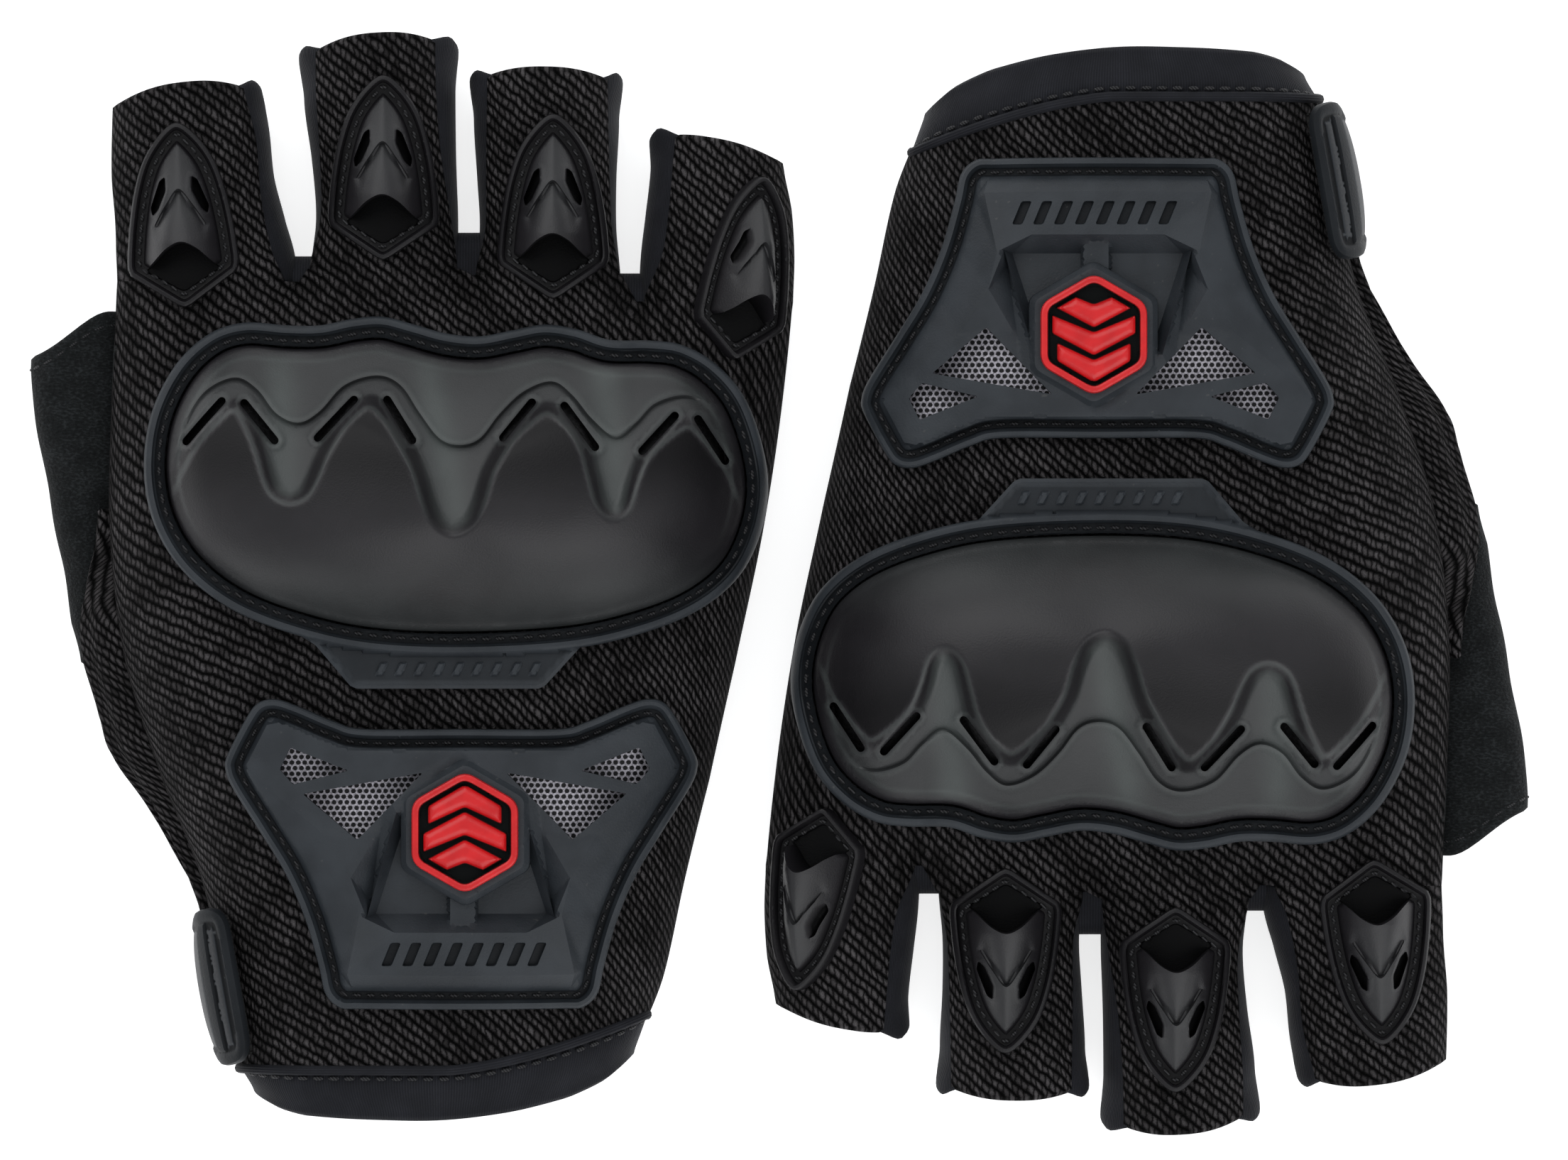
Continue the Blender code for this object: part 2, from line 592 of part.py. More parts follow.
def thumb_gusset(joint, name):
    """The knitted bulge at the side of the hand that leads into the thumb."""
    rows = []
    for y, outer in GUSSET:
        left, _, _, seam, _, _ = along(HAND, y)
        rows.append([
            (left + 5.0, y, 0.4),
            (outer + 3.5, y, 1.0),
            (outer + 0.6, y, 3.2),
            (outer, y, GUSSET_WIDEST_Z),
            (outer + 0.6, y, seam - 2.6),
            (left - 1.2, y, seam - 0.2),
        ])

    def inward(point):
        """Into the hand, turning up under the bulge's widest line and down over it."""
        return Vector((1.0, 0.0, (GUSSET_WIDEST_Z - point[2]) * GUSSET_TURN)).normalized()

    return make_object(name, sheet(rows, GUSSET_WALL, inward), KNIT, joint)


# Knuckle guard.

def span(loop, x):
    """The lowest and highest y of a closed 2D loop at this x."""
    crossings = []
    for (ax, ay), (bx, by) in zip(loop, loop[1:] + loop[:1]):
        if (ax <= x) != (bx <= x):
            crossings.append(ay + (by - ay) * (x - ax) / (bx - ax))
    return min(crossings), max(crossings)


def knuckle_grid(loop, columns, rows, height):
    """Rows of points over the inside of the loop, raised off the fabric by height(x, y, share).

    share runs from 0 in the middle of the loop to 1 at its edge."""
    low_x, high_x = min(x for x, _ in loop), max(x for x, _ in loop)
    grid = []
    for r in range(rows + 1):
        v = -math.cos(math.pi * r / rows)
        row = []
        for c in range(columns + 1):
            u = -END_COLUMN * math.cos(math.pi * c / columns)
            x = (low_x + high_x + u * (high_x - low_x)) / 2
            low_y, high_y = span(loop, x)
            y = (low_y + high_y + v * (high_y - low_y)) / 2
            share = min((abs(u / END_COLUMN) ** ROUNDNESS + abs(v) ** ROUNDNESS) ** (1 / ROUNDNESS), 1.0)
            row.append((x, y, surface_z(x, y) + height(x, y, share)))
        grid.append(row)
    return grid


def apron(y, share):
    """Heights of the knuckle shell without its humps, and of the humps' rounded top."""
    body = SHELL_HEIGHT * (1.0 - share**3) ** 0.7
    return min(body, APRON_EDGE + APRON_SLOPE * (APRON_FRONT - y)), body


def relief(x, y, share):
    """Height of the knuckle shell's outside above its foot."""
    low, high = apron(y, share)
    line, line_on = along(ARCHES, x)[0], along(ARCHES, x + 0.5)[0]
    distance = (line - y) / math.hypot(1.0, (line_on - line) / 0.5)
    inside = min(max(distance / ARCH_SOFT + 0.5, 0.0), 1.0)
    return low + (high - low) * inside * inside * (3 - 2 * inside)


def knuckle_shell(joint, name):
    """The hard knuckle shell: four humps over a smooth body, hollow underneath."""
    edge = inset(closed_curve(KNUCKLE_EDGE, KNUCKLE_SAMPLES), RIM_WIDTH + GAP)
    fine = (SHELL_COLUMNS, SHELL_ROWS)
    outer = knuckle_grid(edge, *fine, lambda x, y, s: LIFT + SHELL_FOOT + relief(x, y, s))
    hollow = inset(edge, SHELL_WALL)
    inner = knuckle_grid(hollow, *fine, lambda x, y, s: LIFT + apron(y, s)[0] * HOLLOW_SHARE)
    return make_object(name, slab_between(outer, inner), SHELL, joint)


def with_tab(point):
    """Moves a point of the rim's lower edge out to the trapezoid tab."""
    x, y = point
    if y > 0.0 or not TAB_LEFT < x < TAB_RIGHT:
        return point
    reach = max(TAB_BOTTOM, -9.0 - TAB_SLOPE * min(x - TAB_LEFT, TAB_RIGHT - x))
    return (x, min(y, reach))


def knuckle_rim(joint, name):
    """The rubber frame round the knuckle shell: bead, stitch channel and lower tab."""
    edge = closed_curve(KNUCKLE_EDGE, KNUCKLE_SAMPLES + 12)
    outer = [with_tab(p) for p in edge]
    loops = [
        draped(outer, LIFT),
        draped(outer, 2.2),
        draped(inset(edge, 0.3), RIM_BEAD_H),
        draped(inset(edge, RIM_BEAD), RIM_BEAD_H),
        draped(inset(edge, RIM_BEAD + 0.2), RIM_CHANNEL_H),
        draped(inset(edge, RIM_WIDTH), RIM_CHANNEL_H),
        draped(inset(edge, RIM_WIDTH), LIFT),
    ]
    return make_object(name, skin(loops, wrap=True), RIM_RUBBER, joint)


def knuckle_foam(joint, name):
    """The impact pad glued inside the knuckle shell."""
    edge = inset(closed_curve(KNUCKLE_EDGE, KNUCKLE_SAMPLES), RIM_WIDTH + SHELL_WALL + FOAM_INSET)
    over = knuckle_grid(
        edge, FOAM_COLUMNS, FOAM_ROWS, lambda x, y, s: LIFT + 0.2 + apron(y, 0.1 + 0.88 * s)[0] * FOAM_SHARE
    )
    under = knuckle_grid(edge, FOAM_COLUMNS, FOAM_ROWS, lambda x, y, s: LIFT)
    return make_object(name, slab_between(over, under), FOAM, joint)


# Wrist plate.

def plate_edge():
    """Closed outline of the wrist plate, right half then its mirror image."""
    right = [(PLATE_X + x, y) for x, y in PLATE_HALF]
    left = [(2 * PLATE_X - x, y) for x, y in reversed(right)]
    return right + left


def prism(name, outline, low, high, joint):
    """An upright prism over this outline, for cutting through a piece."""
    bm = skin([[(x, y, low) for x, y in outline], [(x, y, high) for x, y in outline]])
    return make_object(name, bm, UNSEEN, joint)


def hexagon(radius):
    """The badge's hexagon, one corner towards the fingers, with its corners at this radius."""
    cx, cy = BADGE_CENTRE
    return [
        (cx + radius * math.sin(math.radians(60 * k)), cy + radius * math.cos(math.radians(60 * k)))
        for k in range(6)
    ]


def wrist_plate(joint, name):
    """The moulded plate over the wrist, with four windows and a hexagonal boss."""
    edge = plate_edge()
    under = [draped(toward(inset(edge, 3.0), PLATE_CENTRE, s), PLATE_UNDER) for s in reversed(PLATE_RINGS)]
    over = [draped(toward(inset(edge, 3.0), PLATE_CENTRE, s), PLATE_TOP) for s in PLATE_RINGS]
    loops = under + [
        draped(inset(edge, 2.8), LIFT),
        draped(edge, LIFT),
        draped(inset(edge, 0.1), PLATE_RIM_H),
        draped(inset(edge, 1.3), PLATE_RIM_H),
        draped(inset(edge, 1.5), PLATE_CHANNEL_H),
        draped(inset(edge, 2.7), PLATE_CHANNEL_H),
    ] + over
    plate = make_object(name, skin(loops), PLATE_RUBBER, joint)
    for k, window in enumerate(WINDOWS):
        for side in (1, -1):
            outline = [(PLATE_X + side * x, y) for x, y in window]
            cutter = prism(f"{name}_window_{k}_{side}", outline, 0.0, 45.0, joint)
            cut(plate, cutter)
    corners = hexagon(BOSS_RADIUS)
    boss = skin([draped(corners, 2.6), [(x, y, boss_top()) for x, y in corners]])
    cut(plate, make_object(f"{name}_boss", boss, UNSEEN, joint), "UNION")
    return plate


def boss_top():
    """Height of the flat top of the plate's boss."""
    return surface_z(*BADGE_CENTRE) + BOSS_HEIGHT


def plate_mesh(joint, name):
    """The grey net seen through the plate's windows."""
    edge = toward(inset(plate_edge(), 3.4), PLATE_CENTRE, 0.93)
    under = [draped(toward(edge, PLATE_CENTRE, s), LIFT) for s in reversed(NET_RINGS)]
    over = [draped(toward(edge, PLATE_CENTRE, s), LIFT + 0.5) for s in NET_RINGS]
    return make_object(name, skin(under + over), NET, joint)


def badge(joint, name):
    """The red hexagon on the boss, with bevelled edges."""
    top = boss_top()
    loops = [
        [(x, y, top + GAP) for x, y in hexagon(BADGE_RADIUS)],
        [(x, y, top + 1.6) for x, y in hexagon(BADGE_RADIUS)],
        [(x, y, top + 2.2) for x, y in hexagon(BADGE_RADIUS - 1.0)],
    ]
    return make_object(name, skin(loops), RED, joint)


# Finger guards.

def guard_edge(which):
    """Closed outline of a finger's guard."""
    (cx, cy), turn = GUARDS[which]
    squeeze = LITTLE_GUARD_SQUEEZE if which == "little" else 1.0
    half = [(x * squeeze, y) for x, y in GUARD_HALF]
    loop = [(0.0, 14.1)] + half + [(0.0, -14.1)] + [(-x, y) for x, y in reversed(half)]
    c, s = math.cos(math.radians(turn)), math.sin(math.radians(turn))
    return [(cx + c * x - s * y, cy + s * x + c * y) for x, y in loop]


def finger_guard(joint, name, which):
    """A shield-shaped moulding: flat sewn rim and a hooded scoop that opens to the rear."""
    edge = guard_edge(which)
    (cx, cy), turn = GUARDS[which]

    def hood(_, y):
        """Height of the scoop's crest, falling towards the fingertip."""
        along_guard = (y - cy + 13.0) / 26.0
        return GUARD_PEAK_H + (GUARD_TIP_H - GUARD_PEAK_H) * min(max(along_guard, 0.0), 1.0)

    rim = GUARD_RIM_WIDTH * (LITTLE_GUARD_SQUEEZE if which == "little" else 1.0)
    inner = inset(edge, rim + 0.2)
    centre = (cx, cy - 1.0)
    loops = [
        draped(toward(edge, centre, 0.35), LIFT),
        draped(toward(edge, centre, 0.7), LIFT),
        draped(edge, LIFT),
        draped(edge, GUARD_RIM_H),
        draped(inset(edge, rim), GUARD_RIM_H),
        draped(toward(inner, centre, 0.82), lambda x, y: hood(x, y) * 0.72),
        draped(toward(inner, centre, 0.45), hood),
        draped(toward(inner, centre, 0.12), lambda x, y: hood(x, y) + 0.4),
    ]
    guard = make_object(name, skin(loops), GUARD, joint)
    c, s = math.cos(math.radians(turn)), math.sin(math.radians(turn))
    mouth = [(-3.6, -9.2), (0.0, -6.0), (3.6, -9.2), (0.0, -11.8)]
    outline = [(cx + c * x - s * y, cy + s * x + c * y) for x, y in mouth]
    cut(guard, prism(f"{name}_mouth", outline, 0.0, 45.0, joint))
    return guard


# Wrist strap. Its pieces are drawn across and up from STRAP_CENTRE, and run along the strap axis.

def strap_point(across, run, up):
    """A place on the strap: across and up from STRAP_CENTRE, and run along its axis."""
    a = math.radians(STRAP_ANGLE)
    x = STRAP_CENTRE[0] + across * math.cos(a) + run * -math.sin(a)
    y = STRAP_CENTRE[1] + across * math.sin(a) + run * math.cos(a)
    return (x, y, up)


def curved_plate(joint, name, profile, thickness, half_run, finish):
    """A plate along a profile of (across, up) points, thickened on the profile's right side."""
    ring = list(profile) + offset_profile(profile, thickness)[::-1]
    loops = [[strap_point(a, run, u) for a, u in ring] for run in (-half_run, half_run)]
    return make_object(name, skin(loops), finish, joint)


def offset_profile(profile, distance):
    """The profile moved to its right side, for a layer that lies under it."""
    moved = []
    for i, p in enumerate(profile):
        a, b = profile[max(i - 1, 0)], profile[min(i + 1, len(profile) - 1)]
        d = (Vector(b) - Vector(a)).normalized()
        moved.append((p[0] + d.y * distance, p[1] - d.x * distance))
    return moved


def strap_tab(joint, name):
    """The moulded pull tab, bent round the hand's edge."""
    return curved_plate(joint, name, TAB_PROFILE, TAB_THICKNESS, STRAP_HALF, TAB_RUBBER)


def hook_patch(joint, name):
    """The hooked half of the fastening, under the tab."""
    profile = offset_profile(TAB_PROFILE, TAB_THICKNESS + GAP / 2)[2:]
    return curved_plate(joint, name, profile, HOOK_THICKNESS, STRAP_HALF - 2.5, HOOK_TAPE)


def palm_strap(joint, name):
    """The sewn part of the strap, flat under the wrist and turned up at the thumb side."""
    ring = [(58.0, 0.0), (3.5, 0.0), (-0.4, 0.7), (-0.6, 2.2), (2.9, 1.6), (58.0, 1.6)]
    loops = [[strap_point(a, run, u) for a, u in ring] for run in (-9.0, 9.0)]
    return make_object(name, skin(loops), WEBBING, joint)


def loop_patch(joint, name):
    """The fuzzy half of the fastening, on the thumb-side edge under the hook patch."""
    depth = TAB_THICKNESS + GAP / 2 + HOOK_THICKNESS + GAP
    profile = offset_profile(TAB_PROFILE, depth)[2:]
    return curved_plate(joint, name, profile, LOOP_THICKNESS, STRAP_HALF - 1.5, LOOP_TAPE)


# Palm pads.

def slab(joint, name, outline):
    """A flat suede piece between the table and the palm panel."""
    loops = [[(x, y, z) for x, y in outline] for z in (0.0, PALM_Z - GAP)]
    return make_object(name, skin(loops), SUEDE, joint)


def palm_pad(joint, name):
    """The padded heel of the palm, whose flat underside is what the glove rests on."""
    outline = [(-8, -44), (20, -42), (31, -36), (33, -20), (24, -10), (6, -14), (-12, -30)]
    return slab(joint, name, outline)


def grip_patch(joint, name):
    """The reinforcement across the palm below the fingers."""
    outline = [(-28, 12), (-22, 6), (36, 2), (44, 10), (44, 30), (36, 35), (-24, 35), (-28, 29)]
    return slab(joint, name, outline)


# Assembly.

def pivot(name, parent, point):
    """An empty on a joint's axis. Its children are drawn in the glove's own frame."""
    empty = bpy.data.objects.new(name, None)
    bpy.context.scene.collection.objects.link(empty)
    empty.parent = parent
    empty.location = Vector(point) * MM
    empty["pivot_mm"] = point
    return empty


def build_glove(prefix, offset_x, turn):
    """One glove with its joints, moved along X and turned about Z."""
    hand = pivot(f"{prefix}_hand", None, (0.0, 0.0, 0.0))
    hand.location = (offset_x * MM, 0.0, 0.0)
    hand.rotation_euler = (0.0, 0.0, turn)
    flex = {}
    knitted = [back_panel(hand, f"{prefix}_back_panel")]
    for which, finger in FINGERS.items():
        left, right = along(finger["edges"], finger["root"])
        flex[which] = pivot(f"{prefix}_{which}_flex", hand, ((left + right) / 2, finger["root"], FLEX_Z))
        knitted.append(finger_sleeve(flex[which], f"{prefix}_{which}_back", finger, lower=False))
        finger_sleeve(flex[which], f"{prefix}_{which}_front", finger, lower=True)
    measure_fabric(knitted)
    for which in FINGERS:
        finger_guard(flex[which], f"{prefix}_{which}_guard", which)
    for builder in (
        palm_panel, cuff_band, thumb_gusset, knuckle_shell, knuckle_rim, knuckle_foam,
        wrist_plate, plate_mesh, badge, palm_strap, loop_patch, palm_pad, grip_patch,
    ):
        builder(hand, f"{prefix}_{builder.__name__}")
    thumb = pivot(f"{prefix}_thumb_swing", hand, (*THUMB_PIVOT, 0.0))
    thumb_sleeve(thumb, f"{prefix}_thumb_sleeve")
    strap = pivot(f"{prefix}_strap_open", hand, strap_point(STRAP_PIVOT[0], 0.0, STRAP_PIVOT[1]))
    strap_tab(strap, f"{prefix}_strap_tab")
    hook_patch(strap, f"{prefix}_hook_patch")


def main():
    """Builds both gloves in an empty scene."""
    for obj in list(bpy.data.objects):
        bpy.data.objects.remove(obj)
    build_glove("glove1", -PAIR_OFFSET, 0.0)
    build_glove("glove2", PAIR_OFFSET, math.pi)
    bpy.context.view_layer.update()


main()
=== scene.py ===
"""A pair of half-finger riding gloves on a pale table, seen from straight above.

Every piece is drawn once, in one glove's own frame in millimetres: +X across the hand
towards the little finger, +Y towards the fingertips, +Z up. publish() then places it in
both gloves. The second glove is the first turned half a turn about Z.
"""

import math

import bpy
import numpy as np
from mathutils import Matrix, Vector
from mathutils.geometry import delaunay_2d_cdt


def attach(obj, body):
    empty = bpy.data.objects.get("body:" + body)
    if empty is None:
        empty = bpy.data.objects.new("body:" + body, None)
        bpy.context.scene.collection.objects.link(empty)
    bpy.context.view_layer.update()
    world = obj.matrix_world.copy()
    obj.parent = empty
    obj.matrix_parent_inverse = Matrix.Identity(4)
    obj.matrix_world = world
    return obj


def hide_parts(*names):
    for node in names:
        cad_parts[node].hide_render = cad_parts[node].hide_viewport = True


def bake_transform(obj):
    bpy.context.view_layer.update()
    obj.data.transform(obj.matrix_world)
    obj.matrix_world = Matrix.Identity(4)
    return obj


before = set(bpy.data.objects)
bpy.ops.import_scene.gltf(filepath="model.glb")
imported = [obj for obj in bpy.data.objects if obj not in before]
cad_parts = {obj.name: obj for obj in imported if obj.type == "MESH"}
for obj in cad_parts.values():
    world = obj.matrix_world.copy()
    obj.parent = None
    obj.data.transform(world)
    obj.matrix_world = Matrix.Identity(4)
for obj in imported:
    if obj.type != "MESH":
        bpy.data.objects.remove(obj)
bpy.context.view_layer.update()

MM = 0.001
PAIR_OFFSET = 55.7
GLOVES = {"glove1": (-PAIR_OFFSET, 1.0), "glove2": (PAIR_OFFSET, -1.0)}
COARSE = 1.0

# ---------------------------------------------------------------- the glove's dimensions

PALM_Z, FINGER_Z, SECTION_POWER = 2.4, 0.6, 2.4
# Hand: y, left x, right x, crown z, left seam z, right seam z, left palm chamfer.
HAND = [
    (-74.0, -27.0, 33.0, 22.0, 9.0, 9.0, 8.0),
    (-60.0, -29.6, 38.0, 23.5, 9.0, 9.0, 8.0),
    (-45.0, -32.6, 41.3, 24.5, 9.5, 9.0, 9.0),
    (-30.0, -38.5, 45.0, 25.5, 11.0, 9.0, 12.0),
    (-12.0, -44.0, 49.0, 26.5, 13.5, 9.0, 13.0),
    (8.0, -46.3, 53.2, 26.5, 15.0, 9.0, 13.0),
    (28.0, -46.0, 56.2, 24.5, 15.0, 9.0, 13.0),
    (48.0, -45.2, 58.0, 21.0, 14.0, 8.0, 12.0),
]
LEFT_ROUND, RIGHT_ROUND, PALM_ROUND = 16.0, 30.0, 9.0
HEM_Y, HEM_RISE, HEM_SWEEP_FROM, HEM_SWEEP = -74.0, 8.0, 5.0, 30.0
HEM_POWER = 1.5
# The back turns into finger humps from one y on, and the hollows between them start at another.
HUMPS_FROM, WEBS_FROM, WEB_Z, PALM_WEB_Z = 23.0, 38.0, 12.5, 4.0
CROWNS = ((-31.9, 19.5), (-4.75, 20.0), (20.3, 19.5), (45.85, 18.0))  # x and z of the finger crowns
# Fingers: root y, y of the open end at its two sides, how far its middle bulges on, crown z
# and side seam z at root and tip, side edges, and the edges of the knit on top.
FINGERS = {
    "index": dict(
        root=46.0, tip=(72.6, 75.0), bulge=2.0, crown=(19.5, 17.5), seams=((14.0, 9.0), (8.0, 7.5)),
        edges=[
            (46, -45.2, -17.6), (50, -45.4, -18.0), (55, -45.6, -19.4),
            (62, -46.2, -21.2), (70, -46.2, -22.1), (77, -46.0, -24.0),
        ],
        knit=[
            (46, -45.2, -19.6), (50, -45.4, -21.4), (55, -45.6, -22.6),
            (60, -46.0, -23.4), (68, -46.2, -24.1), (77, -46.0, -26.2),
        ],
    ),
    "middle": dict(
        root=48.0, tip=(79.8, 81.2), bulge=2.8, crown=(20.0, 18.0), seams=((8.0, 7.5), (8.0, 7.5)),
        edges=[(48, -16.2, 6.9), (56, -15.4, 6.9), (65, -16.1, 6.6), (73, -17.2, 6.5), (84, -17.4, 6.5)],
        knit=[(48, -16.0, 6.6), (56, -14.2, 5.6), (65, -14.3, 4.2), (75, -14.9, 3.4), (84, -14.9, 3.3)],
    ),
    "ring": dict(
        root=47.0, tip=(76.3, 76.0), bulge=2.0, crown=(19.5, 17.5), seams=((8.0, 7.5), (8.0, 7.5)),
        edges=[(47, 8.9, 31.7), (54, 9.6, 31.1), (62, 9.2, 31.1), (70, 8.7, 31.5), (79, 8.7, 31.4)],
        knit=[(47, 9.3, 31.3), (54, 10.9, 30.2), (62, 11.0, 29.8), (79, 11.2, 29.5)],
    ),
    "little": dict(
        root=43.0, tip=(67.6, 64.2), bulge=1.5, crown=(18.0, 15.5), seams=((8.0, 7.5), (8.0, 7.5)),
        edges=[(43, 33.9, 57.8), (50, 34.2, 58.0), (57, 35.0, 57.6), (62, 35.6, 56.6), (69, 36.0, 55.6)],
        knit=[(43, 35.0, 57.8), (50, 37.9, 58.0), (57, 39.0, 57.6), (69, 39.9, 55.6)],
    ),
}
# The hand's front edge as x and y, and how far forward the webs between the fingers reach.
FRONT_Y = [
    (-45.2, 46.0), (-17.6, 46.0), (-16.2, 48.0), (6.9, 48.0),
    (8.9, 47.0), (31.7, 47.0), (33.9, 43.0), (57.8, 43.0),
]
CROTCH_Y = {("index", "middle"): 50.0, ("middle", "ring"): 53.6, ("ring", "little"): 47.4}

# Thumb tube: y, left x, right x, underside z and top z, and y of its open end at its two sides.
THUMB = [
    (-12.0, -51.2, -45.0, 1.4, 8.6),
    (-6.0, -52.6, -43.2, 1.0, 10.0),
    (6.0, -54.6, -42.6, 0.8, 11.0),
    (20.0, -57.2, -42.2, 0.8, 12.0),
    (32.0, -58.8, -42.6, 0.8, 12.0),
    (42.0, -58.0, -44.0, 1.2, 11.5),
]
THUMB_TIP = (34.0, 41.0)
# The fold between hand and thumb: y and outer x.
GUSSET = [
    (-50, -32.0), (-42, -36.2), (-35, -40.2), (-26, -46.2),
    (-20, -48.2), (-10, -51.0), (0, -50.6), (11, -47.4),
]

# The knuckle frame's outer edge and tab, the line where the humps rise, the step in front of
# it, and the two ends of each slot.
KNUCKLE_EDGE = [
    (-40.6, 17.0), (-39.6, 25.5), (-36.0, 33.0), (-31.0, 37.8), (-25.5, 39.6), (-19.0, 39.2),
    (-14.0, 39.2), (-9.0, 40.2), (-4.5, 40.5), (0.0, 39.4), (5.0, 38.0), (10.0, 37.5),
    (15.0, 38.4), (20.0, 39.3), (25.0, 38.6), (30.0, 37.0), (36.0, 36.9), (41.0, 36.2),
    (46.0, 33.4), (50.3, 28.5), (53.0, 21.5), (54.0, 14.5), (52.8, 7.5), (49.5, 1.0),
    (43.5, -4.0), (35.0, -7.5), (24.0, -9.9), (8.0, -10.8), (-6.0, -10.2), (-17.0, -7.9),
    (-27.0, -4.0), (-34.5, 1.8), (-39.0, 9.0),
]
KNUCKLE_TAB = [
    (-16.5, -7.0), (-14.5, -9.3), (-9.4, -15.4), (-8.2, -15.9),
    (19.2, -15.9), (20.4, -15.4), (25.6, -9.6), (28.0, -7.0),
]
TAB_CORNERS = [(-14.5, -9.3), (-9.2, -15.5), (-8.2, -15.9), (19.2, -15.9), (20.2, -15.5), (25.6, -9.6)]
ARCHES = [
    (-39.0, 9.0), (-37.0, 13.0), (-35.1, 17.0), (-33.2, 20.5), (-30.0, 24.2), (-26.7, 26.8), (-24.4, 24.0),
    (-22.7, 20.0), (-21.2, 15.2), (-20.0, 13.4), (-18.0, 12.6), (-15.8, 13.4), (-14.3, 15.8), (-12.5, 20.0),
    (-9.6, 24.5), (-6.2, 27.2), (-3.4, 25.0), (-1.0, 21.2), (1.1, 17.0), (2.6, 12.2), (4.1, 9.2),
    (6.5, 7.8), (9.2, 9.2), (10.8, 12.2), (12.3, 17.0), (14.6, 21.0), (17.1, 23.8), (20.6, 26.2),
    (23.8, 24.2), (26.2, 20.6), (27.4, 16.4), (28.6, 12.2), (30.6, 10.2), (32.6, 11.2),
    (33.8, 15.2), (35.2, 18.6), (37.8, 21.6), (41.6, 24.2),
    (44.0, 22.8), (46.0, 20.4), (47.9, 17.6), (50.0, 13.0), (52.0, 8.0),
]
RIDGE = [
    (-36.6, 13.0), (-35.7, 18.2), (-34.2, 24.3), (-31.2, 29.1), (-26.7, 31.2), (-23.3, 29.4), (-20.3, 25.7),
    (-16.9, 24.3), (-13.7, 26.1), (-10.1, 30.0), (-5.2, 31.5), (-1.6, 30.0), (1.4, 25.7),
    (4.4, 21.9), (7.4, 20.9), (10.5, 21.9), (13.5, 25.7), (17.1, 29.1), (21.3, 30.6),
    (24.4, 28.5), (27.4, 24.9), (30.9, 22.2), (34.0, 24.3),
    (37.0, 27.3), (41.7, 28.5), (45.5, 26.5), (48.3, 21.2), (49.7, 15.0),
]
SLOTS = [
    ((-34.0, 21.5), (-28.6, 27.6)), ((-25.2, 27.3), (-20.5, 21.6)),
    ((-14.0, 22.0), (-8.6, 27.8)), ((-3.6, 27.8), (0.3, 21.6)),
    ((14.0, 22.0), (18.3, 27.4)), ((23.2, 26.9), (27.9, 20.6)),
    ((35.0, 20.0), (39.9, 25.4)), ((43.4, 24.9), (47.5, 18.6)),
]

# Wrist plate: its middle, and its edge's right half as offsets from that.
PLATE_X = 7.5
PLATE_HALF = [
    (0.0, -22.0), (14.5, -22.0), (19.0, -20.9), (24.5, -18.6), (28.0, -17.5), (30.6, -18.0), (32.4, -20.2),
    (35.4, -26.0), (35.7, -28.2), (34.6, -31.0), (30.6, -37.4), (26.6, -44.0), (23.6, -51.0),
    (21.6, -58.0), (20.6, -62.2), (18.4, -64.3), (15.0, -64.5), (0.0, -64.6),
]
WINDOW_X = 8.1  # the windows and the badge are a little off the plate's own middle
WINDOWS = [
    [(6.3, -28.6), (24.5, -31.8), (16.3, -38.8)],
    [(26.4, -24.8), (28.0, -28.1), (26.0, -30.4), (17.5, -28.3)],
]
# Facets of the plate: offset from PLATE_X, y and height. Edges join them by name.
FACETS = {
    "a": (0.0, -24.9, 3.3), "b": (14.0, -24.9, 3.3), "c": (20.5, -23.6, 3.2), "d": (27.0, -20.9, 3.0),
    "e": (29.3, -21.4, 2.9), "f": (32.6, -27.8, 2.7), "g": (31.2, -31.0, 2.4), "h": (23.8, -42.8, 2.0),
    "i": (20.8, -51.0, 2.0), "j": (18.6, -58.5, 2.0), "k": (16.5, -61.4, 1.9), "l": (0.0, -61.5, 1.9),
    "m": (28.5, -31.6, 3.4), "n": (20.8, -37.8, 4.7), "o": (16.6, -44.5, 5.4), "p": (15.3, -50.2, 5.8),
    "q": (14.2, -50.5, 4.6), "r": (9.7, -34.6, 4.6), "s": (13.6, -48.0, 2.2), "t": (12.2, -37.5, 3.0),
    "u": (12.9, -50.0, 1.7), "v": (0.0, -50.0, 1.7), "w": (8.4, -36.0, 1.7), "x": (0.0, -36.0, 1.7),
    "y": (10.0, -52.8, 4.9), "z": (0.0, -52.8, 4.9), "aa": (17.2, -59.2, 4.1), "bb": (0.0, -59.4, 4.3),
    "cc": (17.6, -38.9, 4.2), "dd": (11.5, -31.0, 3.6),
}
CREASES = [
    "a b", "b c", "c d", "d e", "e f", "f g", "g h", "h i", "i j", "j k", "k l", "g m", "m n", "n o", "o p",
    "p i", "o q", "q r", "q s", "s t", "t r", "s p", "u q", "u v", "w r", "w x", "u w", "u y", "y z",
    "p y", "p aa", "aa bb", "aa k", "n cc", "r dd", "dd a", "bb l", "cc t", "cc dd", "v z",
]
BADGE_CENTRE, BADGE_RADIUS, BOSS_RADIUS, BOSS_TOP = (8.2, -37.6), 9.3, 11.2, 5.6

